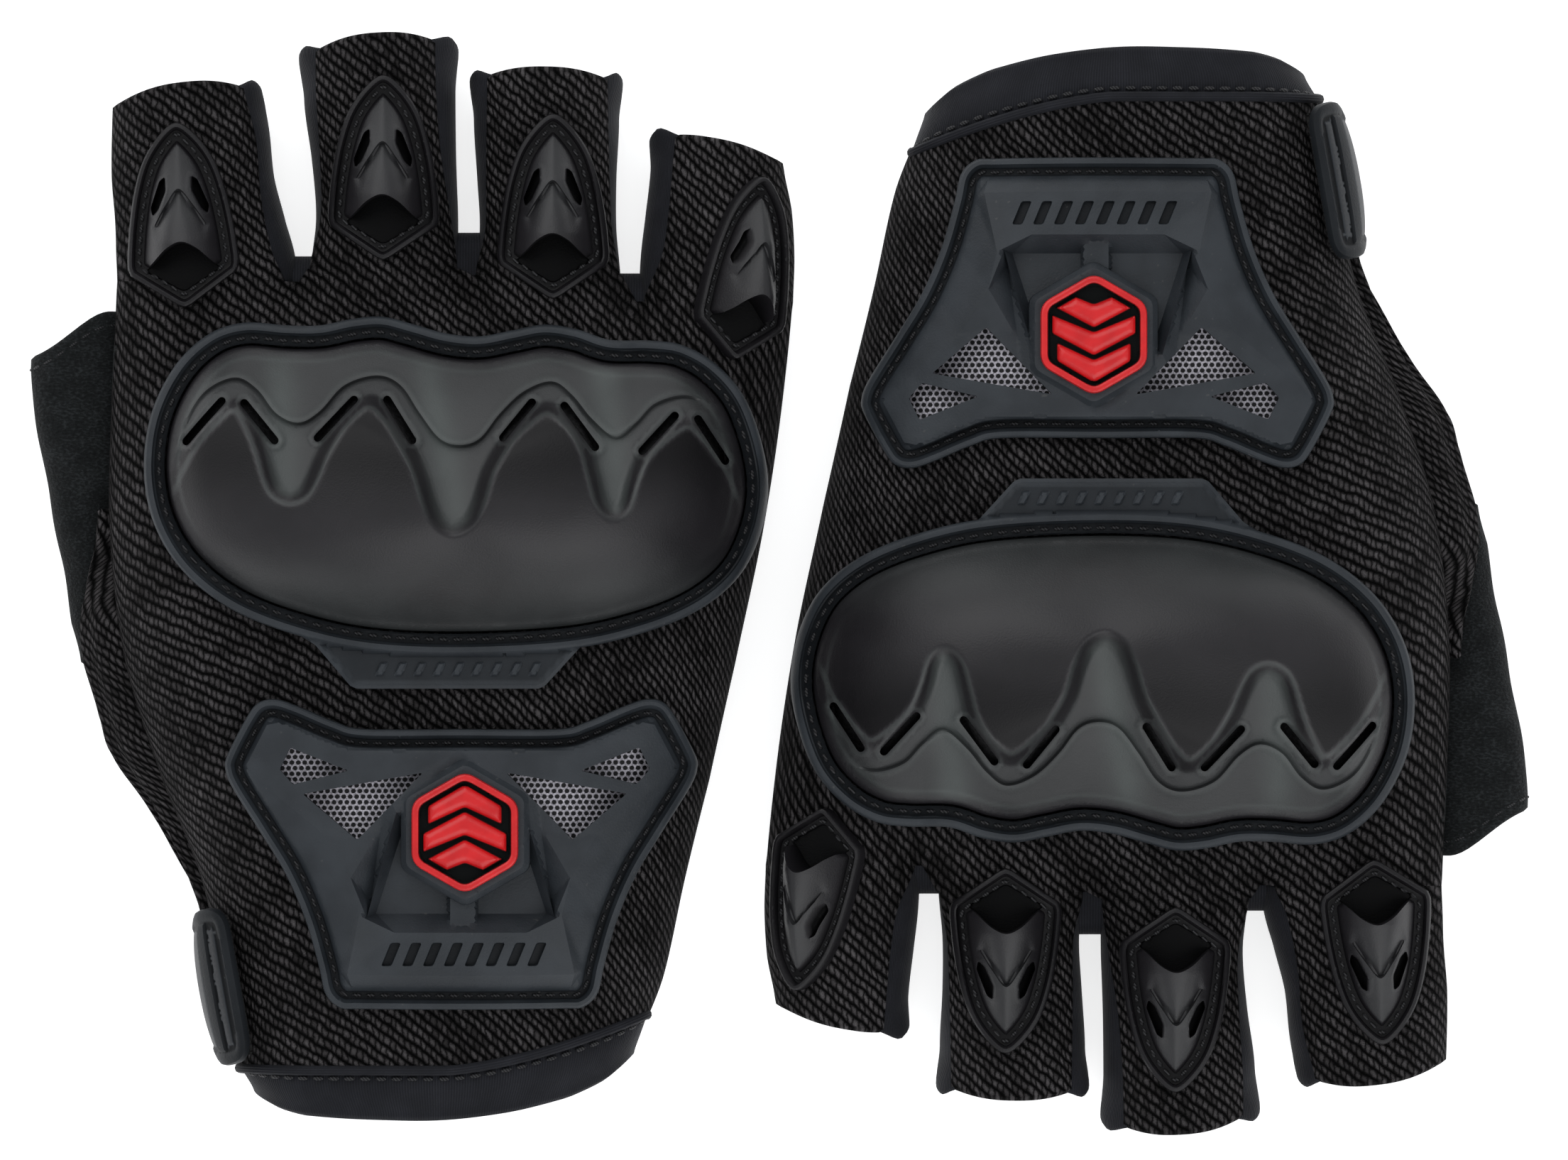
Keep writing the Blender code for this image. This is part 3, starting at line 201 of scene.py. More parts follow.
# Finger guards: centre, turn about Z and lean outwards in degrees. The lists are the right half
# of the edge, the hood's half width and height by y, the lip and floor of the mouth at the rear,
# one of the two slots, and the step across the hood.
GUARDS = {
    "index": ((-35.3, 56.0), 3.0, 0.0), "middle": ((-4.5, 63.2), 0.0, 0.0),
    "ring": ((21.3, 57.3), 0.0, 0.0), "little": ((50.4, 48.0), -9.0, 34.0),
}
GUARD_SIDE = [(-2.6, 12.4), (0.0, 14.1), (2.6, 12.4), (5.3, 8.6), (7.0, 3.6), (8.0, -1.8), (8.5, -6.6)]
GUARD_REAR = [(8.5, -7.8), (8.1, -8.9), (1.0, -13.7), (0.0, -14.1)]
GUARD_WIDTH = [
    (-14.1, 0.1), (-8.9, 8.3), (-6.6, 8.5), (-1.8, 8.0), (3.6, 7.0), (8.6, 5.3), (12.4, 2.6), (14.1, 0.1),
]
GUARD_RIDGE = [(-9.0, 6.3), (-4.2, 6.4), (0.0, 5.5), (4.0, 4.7), (8.0, 3.0), (11.6, 1.3)]
GUARD_LIP = [(-5.7, -8.2), (-4.2, -6.9), (-2.2, -5.1), (0, -4.2), (2.2, -5.1), (4.2, -6.9), (5.7, -8.2)]
GUARD_MOUTH = [(5.4, -8.6), (0.5, -11.5), (0.0, -11.6), (-0.5, -11.5), (-5.4, -8.6)]
GUARD_SLOT = [(2.0, 5.9), (2.9, 5.3), (4.5, 1.2), (4.2, -0.1), (3.2, 0.8), (1.9, 3.6)]
GUARD_STEP = [(-3.9, -1.4), (-2.0, 1.6), (0, 3.9), (2.0, 1.6), (3.9, -1.4)]
GUARD_RIM = 2.75

# Wrist strap: places are across and up from its centre, and run along its tilted axis. The palm
# strap's bend, handed to publish(), lies STRAP_PIVOT[0] across from its centre.
STRAP_CENTRE, STRAP_ANGLE = (-29.7, -61.5), 10.0
STRAP_PIVOT = (-1.8, 3.0)
TAB_PROFILE = [(-2.0, 3.4), (-3.2, 8.0), (-3.0, 13.0), (-1.6, 18.0), (1.4, 21.6), (3.4, 22.8)]
TAB_HALF = 12.4
# The strap's path under the palm, and the outlines of the two palm patches.
PALM_STRAP = [(58.0, 0.15), (30.0, 0.15), (8.0, 0.15), (2.0, 0.4), (-0.6, 1.4), (-1.2, 3.4), (-1.9, 6.0)]
HEEL_PAD = [(-8, -44), (20, -42), (31, -36), (33, -20), (24, -10), (6, -14), (-12, -30)]
GRIP_PATCH = [(-28, 12), (-22, 6), (36, 2), (44, 10), (44, 30), (36, 35), (-24, 35), (-28, 29)]

CAMERA_HEIGHT, CAMERA_LENS, CAMERA_X, CAMERA_Y = 2.005, 300.0, 0.0007, 0.00054
SENSOR_WIDTH, TABLE_REACH = 36.0, 1.5

# ---------------------------------------------------------------- curves and distances


def along(table, at):
    """The table's other columns at these values of its first column, on smooth curves."""
    table, at = np.array(table, float), np.asarray(at, float)
    keys = table[:, 0]
    i = np.clip(np.searchsorted(keys, at, side="right") - 1, 0, len(keys) - 2)
    t = np.clip((at - keys[i]) / (keys[i + 1] - keys[i]), 0, 1)[..., None]
    a, b, c, d = (table[np.clip(i + k, 0, len(keys) - 1), 1:] for k in (-1, 0, 1, 2))
    value = 2 * b + (c - a) * t + (2 * a - 5 * b + 4 * c - d) * t**2 + (3 * b - a - 3 * c + d) * t**3
    return np.moveaxis(value / 2, -1, 0)


def smooth(low, high, value):
    """0 below low, 1 above high, and an even S between."""
    t = np.clip((value - low) / (high - low), 0, 1)
    return t * t * (3 - 2 * t)


def resample(points, step, closed=False):
    """The polyline through these points, with a point about every step along it."""
    points = np.array(points, float)
    if closed:
        points = np.vstack([points, points[:1]])
    lengths = np.concatenate([[0], np.cumsum(np.linalg.norm(np.diff(points, axis=0), axis=1))])
    count = max(int(round(lengths[-1] / step)), 3)
    at = np.linspace(0, lengths[-1], count + 1)
    made = np.stack([np.interp(at, lengths, column) for column in points.T], axis=1)
    return made[:-1] if closed else made


def smooth_line(points, step, closed=False):
    """An evenly sampled smooth curve through these points."""
    points = np.array(points, float)
    if closed:
        points = np.vstack([points[-1:], points, points[:2]])
    keyed = np.column_stack([np.arange(len(points)), points])
    first, last = (1, len(points) - 2) if closed else (0, len(points) - 1)
    dense = along(keyed, np.linspace(first, last, (last - first) * 12 + 1)).T
    return resample(dense[:-1] if closed else dense, step, closed)


def round_polygon(points, radius, step):
    """A closed polygon with its corners rounded off, evenly sampled."""
    points = np.array(points, float)
    made = []
    for before, corner, after in zip(np.roll(points, 1, 0), points, np.roll(points, -1, 0)):
        back, on = before - corner, after - corner
        start = corner + back * min(radius / np.linalg.norm(back), 0.45)
        end = corner + on * min(radius / np.linalg.norm(on), 0.45)
        for t in np.linspace(0, 1, 7):
            made.append(start * (1 - t) ** 2 + corner * 2 * t * (1 - t) + end * t * t)
    return resample(made, step, closed=True)


def closed_lines(rings):
    """Closed rings as lines that end where they start."""
    return [np.vstack([ring, ring[:1]]) for ring in rings]


def in_chunks(work, points, size=3000):
    """work(points), done a few points at a time to spare memory."""
    return np.concatenate([work(points[i : i + size]) for i in range(0, len(points), size)])


def distance_to(line, points, closed=True):
    """How far each 2D point is from the line."""
    a, b = (line, np.roll(line, -1, 0)) if closed else (line[:-1], line[1:])
    run = b - a
    length = np.maximum((run**2).sum(1), 1e-12)

    def work(some):
        """The distances of some of the points."""
        gap = some[:, None, :] - a
        t = np.clip((gap * run).sum(2) / length, 0, 1)
        return np.sqrt(((gap - t[..., None] * run) ** 2).sum(2).min(1))

    return in_chunks(work, points)


def inside(loop, points):
    """Which 2D points lie in the closed loop."""
    a, b = loop, np.roll(loop, -1, 0)
    slope = (b[:, 0] - a[:, 0]) / np.where(b[:, 1] == a[:, 1], 1e-12, b[:, 1] - a[:, 1])

    def work(some):
        """Whether each of some of the points lies in the loop."""
        x, y = some[:, :1], some[:, 1:]
        spans = (a[:, 1] <= y) != (b[:, 1] <= y)
        return (spans & (a[:, 0] + (y - a[:, 1]) * slope > x)).sum(1) % 2 == 1

    return in_chunks(work, points)


def depth_in(loop, points):
    """How far each 2D point is inside the loop, below 0 outside."""
    return np.where(inside(loop, points), 1.0, -1.0) * distance_to(loop, points)


def inset(loop, distance, step=None):
    """The closed loop moved inwards by this distance, without the swallow-tails of tight bends."""
    before, after = loop - np.roll(loop, 1, 0), np.roll(loop, -1, 0) - loop
    tangent = unit(before) + unit(after)
    tangent /= np.linalg.norm(tangent, axis=1)[:, None]
    area = (loop[:, 0] * np.roll(loop[:, 1], -1) - np.roll(loop[:, 0], -1) * loop[:, 1]).sum()
    moved = loop + np.column_stack([-tangent[:, 1], tangent[:, 0]]) * math.copysign(distance, area)
    moved = moved[distance_to(loop, moved) > abs(distance) - 0.04]
    return resample(moved, step, closed=True) if step else moved


def unit(vectors):
    """Vectors of the same directions, 1 long."""
    return vectors / np.maximum(np.linalg.norm(vectors, axis=-1, keepdims=True), 1e-9)


def bell(value, width):
    """1 at 0, falling evenly to nothing over a few widths either way."""
    return np.exp(-((value / width) ** 2))


def rounded(share):
    """A quarter circle's height, from 0 at 0 to 1 at 1."""
    return np.sqrt(np.clip(1 - (1 - np.clip(share, 0, 1)) ** 2, 0, 1))


# ---------------------------------------------------------------- the fabric's surface


def superellipse(angle):
    """Across and up, from -1 to 1, on the sleeves' squared-off round section."""
    across, up = np.cos(angle), np.sin(angle)
    power = 2 / SECTION_POWER
    return np.sign(across) * np.abs(across) ** power, np.sign(up) * np.abs(up) ** power


def finger_parts(which, y):
    """Centre x, half width, crown z and the two seam heights of a finger at y."""
    finger = FINGERS[which]
    left, right = along(finger["edges"], y)
    share = np.clip((y - finger["root"]) / (finger["tip"][0] - finger["root"]), 0, 1)
    crown = finger["crown"][0] + (finger["crown"][1] - finger["crown"][0]) * share
    seams = [low + (high - low) * share for low, high in finger["seams"]]
    return (left + right) / 2, (right - left) / 2, crown, seams


def finger_point(which, angle, y, shrink=0.0):
    """Points of a finger sleeve: angle runs from 0 at the right over 90 degrees at the crown."""
    centre, half, crown, seams = finger_parts(which, y)
    across, up = superellipse(angle)
    seam = seams[0] + (seams[1] - seams[0]) * (across + 1) / 2
    reach = np.where(up > 0, crown - shrink - seam, seam - FINGER_Z - shrink)
    return np.stack([centre + across * (half - shrink), y + 0 * angle, seam + up * reach], axis=-1)


def finger_z(which, x, y):
    """Height of the top of a finger sleeve."""
    centre, half, crown, seams = finger_parts(which, y)
    u = np.clip((x - centre) / half, -1, 1)
    seam = seams[0] + (seams[1] - seams[0]) * (u + 1) / 2
    return seam + (crown - seam) * (1 - np.abs(u) ** SECTION_POWER) ** (1 / SECTION_POWER)


def angle_at(which, x, y):
    """The sleeve's angle above this x."""
    centre, half, _, _ = finger_parts(which, y)
    u = np.clip((x - centre) / half, -1, 1)
    return np.arccos(np.sign(u) * np.abs(u) ** (SECTION_POWER / 2))


def finger_end(which, angle):
    """y of the sleeve's open end at this angle."""
    finger = FINGERS[which]
    across, up = superellipse(angle)
    mean, half = sum(finger["tip"]) / 2, (finger["tip"][1] - finger["tip"][0]) / 2
    return mean + across * half + finger["bulge"] * np.maximum(up, 0) ** 3


def front_y(x):
    """y of the hand's front edge."""
    return np.interp(x, *zip(*FRONT_Y))


def hem_y(x):
    """y of the knit's hem."""
    return HEM_Y + HEM_RISE * (np.maximum(x - HEM_SWEEP_FROM, 0) / HEM_SWEEP) ** HEM_POWER


def knuckle_z(x):
    """Height of the knuckles: the finger crowns with no hollows between them."""
    bridge = np.interp(x, *zip(*CROWNS), left=0.0, right=0.0)
    return np.maximum(root_z(x), bridge)


def root_z(x, lower=False):
    """Height of the hand's front edge: finger sections joined by webs."""
    heights = []
    for which, finger in FINGERS.items():
        centre, half, crown, seams = finger_parts(which, finger["root"])
        u = np.clip((x - centre) / half, -1, 1)
        up = (1 - np.abs(u) ** SECTION_POWER) ** (1 / SECTION_POWER)
        seam = seams[0] + (seams[1] - seams[0]) * (u + 1) / 2
        heights.append(seam - (seam - FINGER_Z) * up if lower else seam + (crown - seam) * up)
    if lower:
        web = np.where(x < -40, 14.0, np.where(x > 50, 8.0, PALM_WEB_Z))
        return np.minimum(np.min(heights, axis=0), web)
    web = np.where((x < -40) | (x > 50), 0.0, WEB_Z)
    return np.maximum(np.max(heights, axis=0), web)


def hand_z(x, y):
    """Height of the back of the hand, which turns into the finger humps at its front."""
    left, right, crown, left_seam, right_seam, _ = along(HAND, y)
    seam = left_seam + (right_seam - left_seam) * np.clip((x - left) / (right - left), 0, 1)
    plain = seam + (crown - seam) * rounded((x - left) / LEFT_ROUND) * rounded((right - x) / RIGHT_ROUND)
    knuckles = knuckle_z(x)
    bridged = plain + (knuckles - plain) * smooth(HUMPS_FROM, front_y(x), y)
    return bridged + (root_z(x) - knuckles) * smooth(WEBS_FROM, front_y(x), y)


def palm_z(x, y):
    """Height of the underside of the palm."""
    left, right, _, left_seam, right_seam, chamfer = along(HAND, y)
    thumb_side = np.clip(1 - (x - left) / chamfer, 0, 1) ** 1.2
    far_side = 1 - rounded((right - x) / PALM_ROUND)
    plain = PALM_Z + (left_seam - PALM_Z) * thumb_side + (right_seam - PALM_Z) * far_side
    return plain + (root_z(x, lower=True) - plain) * smooth(HUMPS_FROM + 12, front_y(x), y)


def top_z(which, x, y):
    """Height of the fabric under a finger guard, which reaches back onto the hand."""
    return np.where(y > FINGERS[which]["root"], finger_z(which, x, y), hand_z(x, y))


# ---------------------------------------------------------------- shapes


class Shape:
    """Points, faces, and for each point a place on the cloth in millimetres and a tint."""

    def __init__(self, points, faces, cloth=None, tint=None):
        """The cloth defaults to x and y, and the tint to 0."""
        self.points = np.asarray(points, float).reshape(-1, 3)
        self.faces = [tuple(int(i) for i in face) for face in faces]
        self.cloth = self.points[:, :2] if cloth is None else np.asarray(cloth, float).reshape(-1, 2)
        self.tint = np.zeros(len(self.points)) if tint is None else np.asarray(tint, float).ravel()

    def __add__(self, other):
        """Both shapes as one."""
        first = len(self.points)
        return Shape(
            np.vstack([self.points, other.points]),
            self.faces + [tuple(i + first for i in face) for face in other.faces],
            np.vstack([self.cloth, other.cloth]),
            np.concatenate([self.tint, other.tint]),
        )


def grid_normals(grid, wrap):
    """The unit normal at each point of a grid."""
    if wrap:
        across = np.roll(grid, -1, 1) - np.roll(grid, 1, 1)
    else:
        across = np.gradient(grid, axis=1)
    return unit(np.cross(across, np.gradient(grid, axis=0)))


def slab(outer, wall, side=1.0, wrap=False, bulge=0.35, cloth=None):
    """A closed panel whose outer face is a grid of points, with rounded edges.

    side is 1 where the grid's own normal points out and -1 where it points in. With wrap, the
    last column joins the first."""
    rows, columns = outer.shape[:2]
    inner = outer - grid_normals(outer, wrap) * side * wall
    cloth = outer[..., :2] if cloth is None else cloth
    count = rows * columns
    faces = []
    for r in range(rows - 1):
        for c in range(columns if wrap else columns - 1):
            a, b = r * columns + c, r * columns + (c + 1) % columns
            face = (a, a + columns, b + columns, b) if side < 0 else (a, b, b + columns, a + columns)
            faces.append(face)
            faces.append(tuple(i + count for i in reversed(face)))
    if wrap:
        rings = [list(range(columns)), list(range(count - columns, count))[::-1]]
    else:
        ring = list(range(columns)) + [r * columns + columns - 1 for r in range(1, rows)]
        ring += [(rows - 1) * columns + c for c in range(columns - 2, -1, -1)]
        ring += [r * columns for r in range(rows - 2, 0, -1)]
        rings = [ring]
    out = np.zeros_like(outer)
    out[0] += unit(outer[0] - outer[1])
    out[-1] += unit(outer[-1] - outer[-2])
    if not wrap:
        out[:, 0] += unit(outer[:, 0] - outer[:, 1])
        out[:, -1] += unit(outer[:, -1] - outer[:, -2])
    out = unit(out).reshape(-1, 3)
    flat_outer, flat_inner, flat_cloth = outer.reshape(-1, 3), inner.reshape(-1, 3), cloth.reshape(-1, 2)
    points, cloths = [flat_outer, flat_inner], [flat_cloth] * 2
    first = 2 * count
    for ring in rings:
        ring = np.array(ring)
        points.append((flat_outer[ring] + flat_inner[ring]) / 2 + out[ring] * bulge * wall)
        cloths.append(flat_cloth[ring])
        n = len(ring)
        for i in range(n):
            j = (i + 1) % n
            upper = (ring[i], first + i, first + j, ring[j])
            lower = (first + i, ring[i] + count, ring[j] + count, first + j)
            faces += [upper, lower] if side > 0 else [upper[::-1], lower[::-1]]
        first += n
    return Shape(np.vstack(points), faces, np.vstack(cloths))


def lattice(outline, holes, lines, step):
    """Points and triangles over an outline less its holes, with edges along every line."""
    loops = [outline, *holes]
    edges, first = [], 0
    for chain, closed in [(loop, True) for loop in loops] + [(line, False) for line in lines]:
        n = len(chain)
        edges += [(first + i, first + (i + 1) % n) for i in range(n if closed else n - 1)]
        first += n
    fixed = np.vstack([*loops, *lines])
    low, high = outline.min(0), outline.max(0)
    pitch = step * math.sqrt(0.75)
    rows, columns = int((high[1] - low[1]) / pitch) + 2, int((high[0] - low[0]) / step) + 2
    j, i = np.mgrid[0:rows, 0:columns]
    grid = np.stack([low[0] + (i + 0.5 * (j % 2)) * step, low[1] + j * pitch], axis=-1)
    free = np.ones((rows, columns), bool)
    near = np.round((fixed[:, 1] - low[1]) / pitch).astype(int)
    for dj in (-1, 0, 1):
        row = np.clip(near + dj, 0, rows - 1)
        at = np.round((fixed[:, 0] - low[0]) / step - 0.5 * (row % 2)).astype(int)
        for di in (-1, 0, 1):
            column = np.clip(at + di, 0, columns - 1)
            close = np.linalg.norm(grid[row, column] - fixed, axis=1) < 0.62 * step
            free[row[close], column[close]] = False
    grid = grid[free]
    grid = grid[inside(outline, grid)]
    for hole in holes:
        grid = grid[~inside(hole, grid)]
    made = delaunay_2d_cdt([Vector(p) for p in np.vstack([fixed, grid])], edges, [], 0, 1e-5, False)
    points, triangles = np.array([tuple(v) for v in made[0]]), np.array(made[2])
    middles = points[triangles].mean(1)
    kept = inside(outline, middles)
    for hole in holes:
        kept &= ~inside(hole, middles)
    return points, triangles[kept]


def moulding(outline, holes, lines, step, heights, place):
    """A moulded piece over a 2D outline. heights(points) gives its top, underside and tint
    above the fabric, and place(points, height) puts them in the glove."""
    points, triangles = lattice(outline, holes, lines, step * COARSE)
    n = len(points)
    top, under, tint = (np.broadcast_to(value, n) for value in heights(points))
    directed = np.vstack([triangles[:, [0, 1]], triangles[:, [1, 2]], triangles[:, [2, 0]]])
    seen = {tuple(edge) for edge in directed.tolist()}
    border = [(a, b) for a, b in seen if (b, a) not in seen]
    faces = triangles.tolist() + (triangles[:, ::-1] + n).tolist()
    faces += [(a, a + n, b + n, b) for a, b in border]
    used = np.unique(triangles)
    renumber = -np.ones(2 * n, int)
    keep = np.concatenate([used, used + n])
    renumber[keep] = np.arange(len(keep))
    whole = np.vstack([place(points, top), place(points, under)])
    faces = [tuple(renumber[i] for i in face) for face in faces]
    cloth, tints = np.vstack([points, points]), np.concatenate([tint, tint])
    return Shape(whole[keep], faces, cloth[keep], tints[keep])


def frames_along(path, closed):
    """Unit tangent, side and up vectors along a 3D path."""
    if closed:
        tangent = unit(np.roll(path, -1, 0) - np.roll(path, 1, 0))
    else:
        tangent = unit(np.gradient(path, axis=0))
    side = unit(np.cross(tangent, (0.0, 0.0, 1.0)) + 1e-6)
    return tangent, side, np.cross(side, tangent)


def tube(path, radius, closed=False, sides=8, flat=1.0):
    """A round or flattened cord along a 3D path."""
    path = np.asarray(path, float)
    _, side, up = frames_along(path, closed)
    turn = np.arange(sides) * 2 * math.pi / sides
    radius = np.broadcast_to(radius, len(path))[:, None, None]
    rings = path[:, None] + radius * (
        np.cos(turn)[None, :, None] * side[:, None] + flat * np.sin(turn)[None, :, None] * up[:, None]
    )
    n = len(path)
    faces = []
    for i in range(n if closed else n - 1):
        for k in range(sides):
            a, b = i * sides + k, i * sides + (k + 1) % sides
            c, d = ((i + 1) % n) * sides + k, ((i + 1) % n) * sides + (k + 1) % sides
            faces.append((a, b, d, c))
    if not closed:
        faces += [tuple(range(sides))[::-1], tuple(range((n - 1) * sides, n * sides))]
    lengths = np.concatenate([[0], np.cumsum(np.linalg.norm(np.diff(path, axis=0), axis=1))])
    cloth = np.stack(np.broadcast_arrays(turn[None, :] * radius[:, :, 0], lengths[:, None]), axis=-1)
    return Shape(rings.reshape(-1, 3), faces, cloth)


def stitches(path, pitch=2.1, length=1.5, radius=0.24, closed=False):
    """A row of separate stitches along a 3D path, as small lozenges of thread."""
    path = resample(path, pitch, closed)
    tangent, side, up = frames_along(path, closed)
    sides, template = 6, []
    for run, wide in ((-0.42, 0.6), (-0.2, 1.0), (0.2, 1.0), (0.42, 0.6)):
        for k in range(sides):
            turn, wide_by = 2 * math.pi * k / sides, wide * radius
            template.append((run * length, math.cos(turn) * wide_by, math.sin(turn) * wide_by))
    template += [(-0.5 * length, 0, 0), (0.5 * length, 0, 0)]
    template = np.array(template)
    faces = []
    for ring in range(3):
        for k in range(sides):
            a, b = ring * sides + k, ring * sides + (k + 1) % sides
            faces.append((a, b, b + sides, a + sides))
    head, tail = 4 * sides, 4 * sides + 1
    faces += [(head, (k + 1) % sides, k) for k in range(sides)]
    faces += [(tail, 3 * sides + k, 3 * sides + (k + 1) % sides) for k in range(sides)]
    points = (
        path[:, None]
        + template[None, :, :1] * tangent[:, None]
        + template[None, :, 1:2] * side[:, None]
        + template[None, :, 2:] * up[:, None]
    )
    n = len(template)
    faces = [tuple(i + s * n for i in face) for s in range(len(path)) for face in faces]
    return Shape(points.reshape(-1, 3), faces)


# ---------------------------------------------------------------- materials


class Value:
    """A number that varies over a surface, for arithmetic in a material's node tree."""

    def __init__(self, tree, socket):
        """The number that this socket gives."""
        self.tree, self.socket = tree, socket

    def math(self, operation, *others):
        """This number and the others put through a maths node."""
        node = self.tree.nodes.new("ShaderNodeMath")
        node.operation = operation
        for i, value in enumerate((self, *others)):
            if isinstance(value, Value):
                self.tree.links.new(value.socket, node.inputs[i])
            else:
                node.inputs[i].default_value = value
        return Value(self.tree, node.outputs[0])

    def __add__(self, other):
        """A add node."""
        return self.math("ADD", other)

    def __sub__(self, other):
        """A subtract node."""
        return self.math("SUBTRACT", other)

    def __mul__(self, other):
        """A multiply node."""
        return self.math("MULTIPLY", other)

    def __truediv__(self, other):
        """A divide node."""
        return self.math("DIVIDE", other)

    def smooth(self, low, high):
        """0 below low and 1 above high."""
        node = self.tree.nodes.new("ShaderNodeMapRange")
        node.interpolation_type = "SMOOTHSTEP"
        self.tree.links.new(self.socket, node.inputs["Value"])
        node.inputs["From Min"].default_value = low
        node.inputs["From Max"].default_value = high
        return Value(self.tree, node.outputs[0])


class Finish:
    """A Principled material with its cloth coordinates in millimetres."""

    def __init__(self, name, roughness, **sockets):
        """sockets are the shader's other sockets, with _ for each space in their names."""
        self.material = bpy.data.materials.new(name)
        self.material.use_nodes = True
        self.tree = self.material.node_tree
        self.shader = self.tree.nodes["Principled BSDF"]
        self.shader.inputs["Roughness"].default_value = roughness
        for socket, value in sockets.items():
            self.shader.inputs[socket.replace("_", " ")].default_value = value
        self.map = self.tree.nodes.new("ShaderNodeUVMap")
        self.map.uv_map = "cloth"
        split = self.tree.nodes.new("ShaderNodeSeparateXYZ")
        self.tree.links.new(self.map.outputs[0], split.inputs[0])
        self.u, self.v = Value(self.tree, split.outputs[0]), Value(self.tree, split.outputs[1])
        self.place = self.tree.nodes.new("ShaderNodeTexCoord").outputs["Object"]

    def tint(self):
        """The tint of the shape at this place."""
        node = self.tree.nodes.new("ShaderNodeAttribute")
        node.attribute_name = "tint"
        return Value(self.tree, node.outputs["Fac"])

    def noise(self, size, detail=2.0, on_cloth=True, stretch=(1.0, 1.0, 1.0)):
        """Noise with features of about this size in millimetres, from 0 to 1."""
        node = self.tree.nodes.new("ShaderNodeTexNoise")
        node.inputs["Scale"].default_value = 1.0 / size if on_cloth else 1.0 / (size * MM)
        node.inputs["Detail"].default_value = detail
        mapping = self.tree.nodes.new("ShaderNodeMapping")
        mapping.inputs["Scale"].default_value = stretch
        self.tree.links.new(self.map.outputs[0] if on_cloth else self.place, mapping.inputs[0])
        self.tree.links.new(mapping.outputs[0], node.inputs["Vector"])
        return Value(self.tree, node.outputs["Fac"])

    def scatter(self, row, column):
        """A different number from 0 to 1 for each loop of a knit."""
        join = self.tree.nodes.new("ShaderNodeCombineXYZ")
        self.tree.links.new(row.socket, join.inputs[0])
        self.tree.links.new(column.socket, join.inputs[1])
        node = self.tree.nodes.new("ShaderNodeTexWhiteNoise")
        self.tree.links.new(join.outputs[0], node.inputs["Vector"])
        return Value(self.tree, node.outputs["Value"])

    def ramp(self, value, stops):
        """A colour from (position, colour) stops."""
        node = self.tree.nodes.new("ShaderNodeValToRGB")
        while len(node.color_ramp.elements) < len(stops):
            node.color_ramp.elements.new(0.5)
        for element, (position, colour) in zip(node.color_ramp.elements, stops):
            element.position = position
            element.color = (*colour, 1.0)
        self.tree.links.new(value.socket, node.inputs[0])
        return node.outputs[0]

    def mix(self, share, first, second):
        """Colours mixed by a share; each is an RGB triple or a colour socket."""
        node = self.tree.nodes.new("ShaderNodeMix")
        node.data_type = "RGBA"
        self.tree.links.new(share.socket, node.inputs["Factor"])
        for socket, colour in ((node.inputs[6], first), (node.inputs[7], second)):
            if isinstance(colour, tuple):
                socket.default_value = (*colour, 1.0)
            else:
                self.tree.links.new(colour, socket)
        return node.outputs[2]

    def set(self, socket, value):
        """Drives one of the shader's sockets by a Value or a colour."""
        source = value.socket if isinstance(value, Value) else value
        self.tree.links.new(source, self.shader.inputs[socket])

    def bump(self, height, depth, strength=1.0):
        """Raises the surface by height, from 0 to 1, times depth in millimetres."""
        node = self.tree.nodes.new("ShaderNodeBump")
        node.inputs["Distance"].default_value = depth * MM
        node.inputs["Strength"].default_value = strength
        self.tree.links.new(height.socket, node.inputs["Height"])
        last = self.shader.inputs["Normal"]
        if last.is_linked:
            self.tree.links.new(last.links[0].from_socket, node.inputs["Normal"])
        self.tree.links.new(node.outputs[0], last)


# The knit: width of a rib, length of a loop, the ribs' slant and how the loops lean in them.
KNIT_RIB, KNIT_LOOP, KNIT_TURN, KNIT_LEAN = 1.34, 1.12, math.radians(38), 0.85
# Colours by the knit's height, in darker and paler loops: painted shade in the holes and painted highlights
# on the loops' tops.
KNIT_DARK = [
    (0.24, (0.0003, 0.0003, 0.0003)), (0.52, (0.0052, 0.0049, 0.0050)), (0.95, (0.0240, 0.0222, 0.0225)),
]
KNIT_LIGHT = [
    (0.22, (0.0005, 0.0005, 0.0005)), (0.52, (0.0132, 0.0125, 0.0129)), (0.95, (0.1120, 0.1045, 0.1075)),
]


